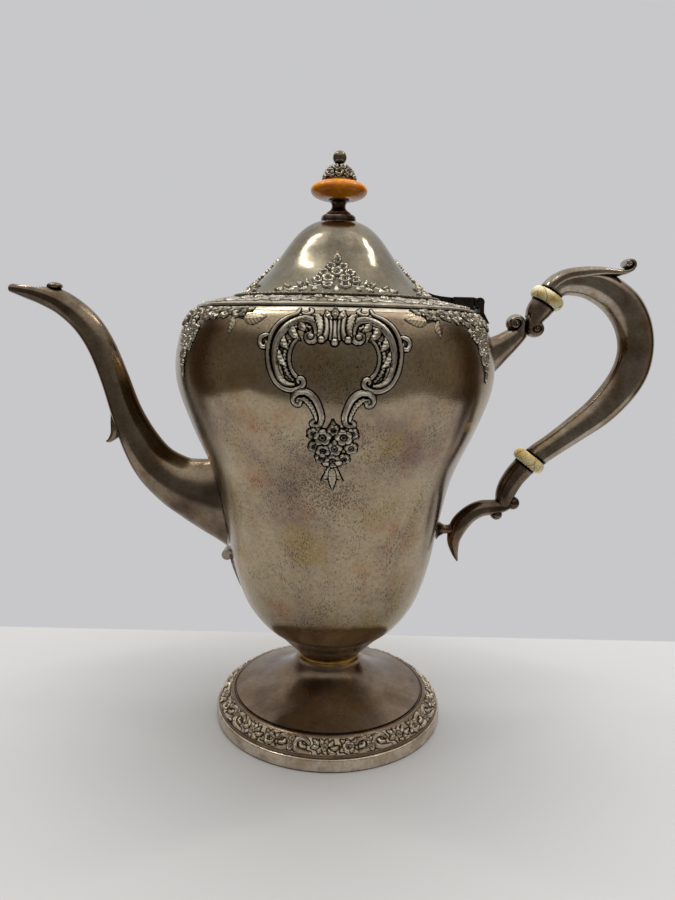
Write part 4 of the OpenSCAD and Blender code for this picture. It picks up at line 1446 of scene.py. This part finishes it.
@dataclass
class Lid:
    """Domed lid with its sloping band, beaded wire and skirt."""

    rim_r: float = 59.3
    rim_z: float = 183.9
    wall: float = 1.0
    band_in: Points = (44.2, 188.3)
    dome_r: float = 42.4
    dome_z: float = 188.6
    seat_z: float = 187.6
    top_z: float = 221.5
    hole_r: float = 1.7
    lip: float = 1.0
    profile: Points = (
        (42.4, 188.6), (40.3, 190.2), (36.8, 192.8), (32.9, 196.2), (28.9, 200.2), (25.1, 205),
        (21.5, 210), (17.7, 214.8), (13, 218.9), (7.3, 221.5),
    )
    vine: Points = (
        (2.5, 40.5, 0.3), (8, 42.8, 0.35), (12.5, 42.2, 0.35), (17, 43.9, 0.35), (22.5, 44.4, 0.3)
    )
    vine_leaves: Points = (
        (6, 38.6, 8.5, 42.6), (11.5, 39.0, 11, 42.4), (15.5, 40.3, 13.5, 42.8), (14.5, 46.6, 11.5, 43.0),
        (9.5, 46.4, 8, 43.2), (21.5, 41.6, 18, 43.9), (19.5, 47.0, 17, 44.3), (25.5, 45.6, 21.5, 44.4),
    )
    spray_flowers: Points = (
        (0.0, 28.2, 1.8), (-2.3, 31.4, 2.1), (2.4, 31.6, 2.1), (-5.0, 35.2, 2.3), (5.0, 35.3, 2.3),
        (-7.2, 39.4, 2.3), (7.2, 39.4, 2.3), (-3.4, 42.4, 2.4), (3.4, 42.4, 2.4), (0.0, 34.4, 2.7),
        (-3.2, 38.4, 2.7), (3.2, 38.6, 2.7), (13.2, 42.8, 1.7), (-13.2, 42.8, 1.7),
    )
    # the band's wave and leaves count v from its middle, and every second one is mirrored
    wave: Points = (
        (-5.2, -4.4, 0.5), (-2.4, -2.6, 0.7), (1.0, 1.2, 0.8), (3.8, 3.6, 0.7), (6.2, 3.4, 0.65),
        (6.8, 1.0, 0.6), (5.2, 0.2, 0.5), (4.4, 1.6, 0.45),
    )
    wave_leaves: Points = (
        (-4.6, 3.8, -0.6, 0.2), (-1.0, 5.4, 1.0, 1.4), (3.4, -4.2, 0.6, 0.4), (-0.8, -5.4, -1.6, -1.6)
    )

    def outline(self) -> Array:
        """Outer outline of the dome from its foot to its top."""
        return blend_curve(self.profile, 10)

    def build(self) -> None:
        """Makes the dome, band, beaded wire and flange."""
        outer = self.outline()
        inner = outer + left_of(outer) * self.wall
        ceiling = self.top_z - self.wall
        inner = inner[inner[:, 1] < ceiling - 0.05]
        foot = [[self.dome_r, self.seat_z]]
        crown = [[self.hole_r, self.top_z], [self.hole_r, ceiling], [5.5, ceiling]]
        seat = [[self.dome_r - self.wall - 0.5, self.seat_z]]
        dome = revolve(np.vstack([foot, outer, crown, inner[::-1], seat]), 256)
        make_piece("lid_dome_shell", dome, Body.LID, BRIGHT_SILVER, "silver_bright", "lid_dome")
        in_r, in_z = self.band_in
        under, lip_r = in_z - self.wall, self.rim_r - 1.2
        edge = ((lip_r, self.rim_z), (self.rim_r, self.rim_z), (self.rim_r, self.rim_z + self.lip))
        band = softened((self.band_in, (in_r, under), *edge), 0.4)
        make_piece("lid_band_strip", revolve(band, 320), Body.LID, RELIEF_SILVER, "silver", "lid_band")
        self.build_bead()
        skirt_r, gauge, step_r = self.rim_r - 6.1, 0.9, self.dome_r - 1.6
        shelf = under - (under - self.rim_z) / (lip_r - in_r) * (skirt_r - in_r)
        flange = softened(
            (
                (step_r, self.seat_z), (in_r, self.seat_z), (in_r, under), (skirt_r, shelf),
                (skirt_r, 177.5), (skirt_r - gauge, 176.5), (skirt_r - gauge, shelf - gauge),
                (in_r, under - gauge), (step_r, self.seat_z - gauge),
            ),
            0.25,
        )
        make_piece("lid_skirt", revolve(flange, 320), Body.LID, BODY_SILVER, "silver", "lid_flange")

    def chase(self) -> None:
        """Makes the four sprays on the dome and the scrolling band round the rim."""
        down = self.outline()[::-1]
        for k in range(4):
            sheet = Chasing((-27, 27), (23, 49), 0.26)
            for side in BOTH:
                sheet.stroke(shifted(self.vine, 0, side), 0.5)
                sheet.leaves(self.vine_leaves, 1.0, 0.1, 0.7, sides=(side,))
            sheet.leaf(0, 23.6, 0, 28.6, 1.3, 0, 0.8)
            for u, v, size in self.spray_flowers:
                sheet.flower(u, v, size, 5, 0.3 * u, 1.1)
            sheet.leaf(0, 48.2, 0, 43.6, 1.1, 0, 0.8)
            shell = sheet.shell(Ground(down, 90.0 * k), 0.8)
            make_piece(f"dome_spray_{k + 1}", shell, Body.LID, SPRAY_SILVER, "silver_bright")
        line = np.array([self.band_in, (self.rim_r, self.rim_z + self.lip)])
        middle, repeats, seam, centre = 52.0, 24, 0.17, 7.6
        pitch = 2 * math.pi * middle / repeats
        sheet = Chasing((-math.pi * middle, math.pi * middle - seam), (0.6, 14.7), 0.34, 0.42)
        for k in range(-12, 13):
            o = k * pitch
            side = 1 if k % 2 else -1
            sheet.stroke(tuple((o + u, centre + v * side, w) for u, v, w in self.wave), 0.7, 1)
            leaves = ((a, centre + b * side, c, centre + d * side) for a, b, c, d in self.wave_leaves)
            sheet.leaves(tuple(leaves), 1.25, 0.1, 0.6, o)
            sheet.flower(o + 6.6, centre - 4.2 * side, 1.8, 5, 0.3 * k, 0.75)
        shell = sheet.shell(Ground(line, round_at=middle), 3.0)
        make_piece("lid_band_relief", shell, Body.LID, RELIEF_SILVER, "silver")

    def build_bead(self) -> None:
        """Beaded wire: a small ring whose radius swells 130 times on its way round.

        The section's radius is 0.95 mm times 0.7 + 0.3 |sin(65 a)|.
        """
        count, per_bead, around, thick = 130, 8, 10, 0.95
        a = np.arange(count * per_bead) * 2 * math.pi / (count * per_bead)
        swell = thick * (0.7 + 0.3 * np.abs(np.sin(count * a / 2)))[:, None]
        s = np.arange(around) * 2 * math.pi / around
        r = self.dome_r + 0.9 + swell * np.cos(s)
        z = self.dome_z + 0.25 + swell * np.sin(s)
        verts = np.stack([r * np.cos(a)[:, None], r * np.sin(a)[:, None], z], axis=2).reshape(-1, 3)
        shape = Shape(verts, grid_faces(len(a), around, True, True), NO_TRIS, {}).outward()
        make_piece("lid_beaded_wire", shape, Body.LID, BRIGHT_SILVER, "silver_bright", "lid_bead")


@dataclass
class Finial:
    """Turned stem, resin disc and leaf cap with its ball."""

    disc_r: float = 12.0
    disc_z: float = 233.8
    disc_h: float = 7.4
    ball_r: float = 2.9
    top_z: float = 250.0
    hole_r: float = 1.7
    stem: Points = (
        (7.3, 221.5), (7.4, 222.3), (7.1, 223.3), (6.4, 223.9), (5.3, 224.2), (5.1, 224.8), (4.2, 225.4),
        (3.2, 226.4), (2.9, 227.6), (3.3, 228.8), (4.2, 229.5), (4.6, 230.1),
    )
    cap: Points = ((6.9, 237.5), (6.6, 238.6), (5.9, 240.2), (5.2, 241.8), (4.2, 243.1), (2.4, 243.9))

    def build(self) -> None:
        """Makes the stem, the disc and the cap.

        The disc is a lens: r = R/2 + R/2 cos(a)^1.1 and z = middle + half height * sin(a).
        """
        hole = self.hole_r
        stem = blend_curve(self.stem, 6)
        stem = revolve(np.vstack([[[hole, stem[0, 1]]], stem, [[hole, stem[-1, 1]]]]), 96)
        make_piece("finial_turned_stem", stem, Body.LID, STEM_SILVER, "silver_bright", "finial_stem")
        half = self.disc_h / 2
        a = np.linspace(-math.pi / 2, math.pi / 2, 33)
        round_r = self.disc_r / 2 * (1 + np.clip(np.cos(a), 0, 1) ** 1.1)
        edge = np.stack([round_r, self.disc_z + half * np.sin(a)], axis=1)
        low, high = [[hole, self.disc_z - half]], [[hole, self.disc_z + half]]
        disc = revolve(np.vstack([low, edge, high]), 128)
        make_piece("finial_resin_disc", disc, Body.LID, RESIN, "butterscotch", "finial_disc")
        cap = blend_curve(self.cap, 8)
        ball_z = self.top_z - self.ball_r
        neck_r = 1.4
        neck = math.asin(neck_r / self.ball_r)
        a = np.linspace(neck, math.pi, 20)[:-1]
        ball = np.stack([self.ball_r * np.sin(a), ball_z - self.ball_r * np.cos(a)], axis=1)
        crown = revolve(np.vstack([[[0, cap[0, 1]]], cap, ball, [[0, self.top_z]]]), 96)
        make_piece("finial_leaf_cap", crown, Body.LID, DARK_SILVER, "silver_bright", "finial_crown")

    def chase(self) -> None:
        """Works leaf tips round the cap's edge and a spiral of small flowers above them."""
        middle = 5.6
        whole = math.pi * middle
        ground = Ground(blend_curve(self.cap, 8)[::-1], round_at=middle)
        sheet = Chasing((-whole, whole - 0.05), (0.1, 7.9), 0.22)
        for k in range(-6, 7):
            u = k * whole / 6
            sheet.leaf(u, 7.9, u + 0.5, 5.2, 1.3, 0.1, 0.7)
        for k in range(-5, 6):
            u = k * whole / 4.5
            sheet.flower(u, 5.2, 1.9, 5, 0.4 * k, 0.8)
            sheet.flower(u + 1.9, 2.4, 1.7, 5, 0.4 * k, 0.6)
        shell = sheet.shell(ground, 2.0, 0.4)
        make_piece("finial_cap_flowers", shell, Body.LID, RELIEF_SILVER, "silver_bright")


@dataclass
class Handle:
    """Grip, insulator rings and the two cast sockets."""

    ring_r: float = 7.6
    ring_t: float = 5.3
    upper_ring: Points = (90.6, 191.5)
    upper_tilt: float = 31.8
    lower_ring: Points = (87.4, 120.5)
    lower_tilt: float = 36.6
    grip: Points = (
        (91.2, 192.4, 5.2, 5.2), (93.6, 196, 5.2, 5.3), (98, 198.2, 5.4, 5.5), (104.9, 198.5, 6.1, 6),
        (111.4, 197.3, 7, 6.6), (117.9, 193.8, 7.3, 7), (123.6, 189, 7.8, 7.2), (127.6, 183, 7.8, 7.3),
        (130, 176, 7.7, 7.3), (130.5, 168.4, 7.6, 7.3), (128.8, 160.4, 7.7, 7.2), (124.5, 152.5, 7.4, 7),
        (116.7, 143.2, 6.7, 6.6), (106.8, 135, 5.8, 6), (97.8, 128, 5.2, 5.4), (91, 122.9, 5.2, 5.2),
        (87.8, 119.6, 5.2, 5.2),
    )
    strap: Points = (
        (91.0, 195.0, 2.4, 5.4), (93.2, 198.2, 2.8, 6.0), (97.6, 200.9, 3.0, 6.3),
        (104.9, 202.2, 2.9, 6.7), (112, 202.8, 2.4, 6.7), (118, 202.7, 1.7, 5.9),
        (122.4, 203.1, 1.2, 5.0), (125.3, 204.4, 1.0, 4.6),
    )
    upper_neck: Points = (
        (91, 192.2, 5.5, 5.5), (89.2, 189.2, 5.5, 5.5), (86.7, 185.3, 5, 5.1), (85.2, 181.6, 3.6, 4.7)
    )
    upper_arm: Points = (
        (54, 163.6, 13.5, 5.8), (60, 164.4, 11.6, 5.6), (66, 166.6, 8.2, 5.4), (71.2, 169.8, 6.0, 5.2),
        (75.6, 173.2, 4.8, 4.9), (79.4, 176.4, 3.8, 4.7),
    )
    lower_neck: Points = (
        (87.2, 120.3, 5, 5), (85.8, 118.4, 5, 5), (81.2, 112.6, 4.8, 4.8), (78.2, 106.6, 4.5, 4.5),
        (77.2, 101.0, 3.6, 4), (77.2, 98.6, 2.2, 3.2),
    )
    lower_arm: Points = (
        (80.2, 100.2, 1.8, 3.0), (77.2, 99.6, 3.0, 3.8), (72.6, 98.7, 3.5, 3.9), (67, 97.9, 3.8, 4.1),
        (61.8, 94.9, 4, 4.3), (57.6, 89.8, 4.1, 4.4), (55.6, 83.4, 3.1, 3.5), (56.3, 77.4, 1.7, 2.1),
        (57.7, 73.2, 0.4, 0.5),
    )
    boss: Points = (
        (0, -9.5), (4.8, -9.5), (3.4, -8.2), (2.1, -6.2), (2.0, -4.4), (2.9, -2.6), (3.3, -0.6), (0, 0.2)
    )

    def build(self, vessel: Vessel) -> None:
        """Makes the grip, the rings and the sockets."""
        half = self.ring_t / 2
        upper = self.upper_ring, self.upper_tilt, half
        lower = self.lower_ring, self.lower_tilt, half
        path = even_steps(blend_curve(self.grip, 10), 1.0)
        grip = sweep(path, panelled_section(96, 0.35, -0.3, (1.5, 2.0)))
        curl = volute((123.9, 206.4), 2.2, -50, 1.05, (1.0, 0.7), (4.6, 3.9))
        strap = sweep(np.vstack([blend_curve(self.strap, 8)[:-1], curl]), round_section(36, 2.5))
        eye = ellipsoid((123.8, 0, 206.5), (1.9, 4.8, 1.9))
        # painted shade darkens the grip next to both ivory rings
        grip = shade_by_ring(shade_by_ring(joined([grip, strap, eye]), *upper), *lower)
        make_piece("grip_scroll", grip, Body.POT, CAST_SILVER, "silver", "grip")
        a = np.linspace(-math.pi / 2, math.pi / 2, 21)
        edge = np.stack([self.ring_r - 2 + 2 * np.cos(a), half * np.sin(a)], axis=1)
        line = np.vstack([[[0, -half]], edge, [[0, half]]])
        for name, (at, tilt, _) in (("upper", upper), ("lower", lower)):
            ring = set_upright(revolve(line, 96), at, tilt)
            make_piece(f"{name}_ivory_ring", ring, Body.POT, IVORY, "ivory", f"{name}_insulator")
        self.build_upper_socket(vessel, upper)
        self.build_lower_socket(vessel, lower)

    def build_upper_socket(self, vessel: Vessel, ring: tuple) -> None:
        """Cast double scroll: a neck and an arm that each end in a snail of the same size.

        Args:
            vessel: body that the arm is drawn into.
            ring: place, tilt and half thickness of the ring above it.
        """
        neck_curl = volute((86.4, 178.8), 3.1, 175, 1.3, (1.7, 0.8), (4.8, 4.2))
        neck = sweep(np.vstack([blend_curve(self.upper_neck, 8)[:-1], neck_curl]), round_section(40))
        arm_curl = volute((77.2, 180.6), 3.0, -25, 1.3, (1.8, 0.8), (4.9, 4.2))
        arm = sweep(np.vstack([blend_curve(self.upper_arm, 8)[:-1], arm_curl]), round_section(40))
        balls = [ellipsoid((x, 0, z), (3.7, 4.3, 3.7)) for x, z in ((86.4, 178.8), (77.2, 180.6))]
        eyes = [ellipsoid((x, 0, z), (1.3, 5.2, 1.3)) for x, z in ((86.2, 178.9), (77.4, 180.7))]
        # painted shade darkens the socket next to the upper ring
        shape = shade_by_ring(joined([neck, vessel.hug(arm), *balls, *eyes]), *ring)
        make_piece("upper_scroll_socket", shape, Body.POT, CAST_SILVER, "silver", "upper_socket")

    def build_lower_socket(self, vessel: Vessel, ring: tuple) -> None:
        """Cast horn and arched leaf, with a turned boss against the body.

        Args:
            vessel: body that the boss stands on.
            ring: place, tilt and half thickness of the ring above it.
        """
        neck = sweep(blend_curve(self.lower_neck, 8), round_section(40))
        arm = sweep(blend_curve(self.lower_arm, 10), panelled_section(60, 0.4, -0.1, (1.3, 1.8)))
        knob = ellipsoid((81.4, 0, 100.9), (3.0, 3.3, 3.0))
        roll = ellipsoid((74.2, 0, 95.6), (2.7, 3.5, 2.6))
        boss = set_upright(revolve(np.array(self.boss), 48), (57, 88), 90)
        # painted shade darkens the socket next to the lower ring
        shape = shade_by_ring(joined([neck, arm, knob, roll, vessel.hug(boss)]), *ring)
        make_piece("lower_leaf_socket", shape, Body.POT, DARK_SILVER, "silver", "lower_socket")


@dataclass
class Studio:
    """Camera, floor, lamps and surroundings.

    A wall is a turn from the front, 0, over the left side, 0.25, the back, 0.5, and the
    right side, 0.75, to the front again, with its tone and brightness.
    """

    eye: Points = (1.81, -308.6, 173.2)
    pitch: float = 9.19
    roll: float = 1.294
    lens_mm: float = 28.0
    board: Points = (-420.0, 420.0, -268.0, 82.0)
    walls: tuple[tuple[float, str, float], ...] = (
        (0.0, "#ECE8E2", 0.16), (0.125, "#E2DACE", 0.16), (0.25, "#D2C2AA", 0.17),
        (0.285, "#3A2E22", 0.06), (0.335, "#3A2E22", 0.06), (0.36, "#F4F2EE", 0.55),
        (0.40, "#FFFFFF", 0.62), (0.60, "#FFFFFF", 0.62), (0.64, "#F4F2EE", 0.55),
        (0.665, "#3A2E22", 0.06), (0.715, "#3A2E22", 0.06), (0.75, "#D2C2AA", 0.26),
        (0.875, "#E2DACE", 0.22), (1.0, "#ECE8E2", 0.16),
    )
    ceiling: Points = (0.84, 0.82, 0.76, 1)
    backdrop: str = "#C8C8CA"

    def set_camera(self) -> None:
        """Places the camera: it looks along +Y, pitched down and slightly rolled."""
        data = bpy.data.cameras.new("camera")
        data.lens, data.sensor_width = self.lens_mm, 36.0
        data.clip_start = 0.01
        camera = bpy.data.objects.new("camera", data)
        bpy.context.scene.collection.objects.link(camera)
        camera.rotation_mode = "QUATERNION"
        tilt = Matrix.Rotation(math.radians(90 - self.pitch), 4, "X")
        spin = Matrix.Rotation(math.radians(self.roll), 4, "Z")
        camera.matrix_world = Matrix.Translation([v * MM for v in self.eye]) @ tilt @ spin
        bpy.context.scene.camera = camera

    def lay_floor(self) -> None:
        """Board under the foot: the eight corners of a flat box."""
        left, right, front, back = self.board
        corners = [(x, y, z) for z in (-3.0, 0.0) for y in (front, back) for x in (left, right)]
        faces = [(0, 2, 3, 1), (4, 5, 7, 6), (0, 1, 5, 4), (2, 6, 7, 3), (0, 4, 6, 2), (1, 3, 7, 5)]
        mesh = bpy.data.meshes.new("floor")
        mesh.from_pydata((np.array(corners) * MM).tolist(), [], faces)
        mesh.materials.append(StudioFloor().material())
        floor = bpy.data.objects.new("floor", mesh)
        bpy.context.scene.collection.objects.link(floor)

    def light_world(self) -> None:
        """Surroundings by direction: a pale wall behind, dark gaps beside it, a dim room in
        front and a pale ceiling. The backdrop that is seen straight is one plain pale grey."""
        world = bpy.data.worlds.new("studio")
        world.use_nodes = True
        bpy.context.scene.world = world
        tree = world.node_tree
        tree.nodes.clear()
        way = add_node(tree, "TexCoord", output="Generated")
        x, y, z = (add_node(tree, "SeparateXYZ", None, {0: way}, axis) for axis in "XYZ")
        turn = add_node(tree, "Math", {"operation": "ARCTAN2"}, {0: x, 1: y})
        whole = {0: turn, 1: 0.5 / math.pi, 2: 0.5}
        turn = add_node(tree, "Math", {"operation": "MULTIPLY_ADD"}, whole)
        tone = add_node(tree, "ValToRGB", None, {0: turn})
        stops = tone.node.color_ramp.elements
        while len(stops) > 1:
            stops.remove(stops[-1])
        for k, (at, code, level) in enumerate(self.walls):
            stop = stops[0] if k == 0 else stops.new(at)
            stop.position = at
            peak = linear(code)[:3]
            stop.color = (*(c / max(peak) * level for c in peak), 1)
        up = add_node(tree, "MapRange", SMOOTH, {0: z, 1: 0.45, 2: 0.8})
        colour = add_node(tree, "Mix", COLOURS, {0: up, 6: tone, 7: self.ceiling}, 2)
        seen = add_node(tree, "LightPath", output="Is Camera Ray")
        colour = add_node(tree, "Mix", COLOURS, {0: seen, 6: colour, 7: linear(self.backdrop)}, 2)
        back = add_node(tree, "Background", None, {"Color": colour, "Strength": 1.0})
        add_node(tree, "OutputWorld", None, {"Surface": back})

    def hang_lights(self) -> None:
        """A broad soft lamp overhead, not seen in the silver, and two ceiling tubes."""
        for name, at, turn, size, power, tone, mirrored in (
            ("overhead", (0.1, 0.1, 1.1), 0.0, (0.9, 0.9), 9.0, "#FFFFFF", False),
            ("ceiling_tube_left", (-0.48, 0.13, 1.1), -26.0, (0.60, 0.05), 1.8, "#FFFCF2", True),
            ("ceiling_tube_right", (0.47, 0.13, 1.1), 26.0, (0.60, 0.05), 1.8, "#FFFCF2", True),
        ):
            data = bpy.data.lights.new(name, "AREA")
            data.shape, data.size, data.size_y, data.energy = "RECTANGLE", *size, power
            data.color = linear(tone)[:3]
            lamp = bpy.data.objects.new(name, data)
            lamp.location, lamp.rotation_euler = at, (0.0, 0.0, math.radians(turn))
            lamp.visible_glossy = mirrored
            bpy.context.scene.collection.objects.link(lamp)


def main() -> None:
    """Builds the pot around its frame."""
    logging.basicConfig(level=logging.INFO, format="%(name)s: %(message)s", stream=sys.stdout)
    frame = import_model()
    bpy.context.scene.view_settings.view_transform = "Standard"
    studio = Studio()
    studio.set_camera()
    vessel = Vessel()
    vessel.build()
    vessel.chase()
    Foot().build()
    Foot().stamp()
    Spout().build(vessel)
    for part in (Lid(), Finial()):
        part.build()
        part.chase()
    Handle().build(vessel)
    for node, finish in (
        ("spout_drop", CAST_SILVER), ("finial_stud", STEEL), ("finial_washer", STEEL),
        ("finial_nut", STEEL), ("lid_hinge_leaf", HINGE_SILVER), ("body_hinge_leaf", HINGE_SILVER),
        ("hinge_pin", HINGE_SILVER), ("handle_pins", CAST_SILVER),
    ):
        for entry in frame["nodes"][node].material_slots:
            entry.material = finish.material()
    studio.lay_floor()
    studio.light_world()
    studio.hang_lights()


if __name__ == "__main__":
    main()
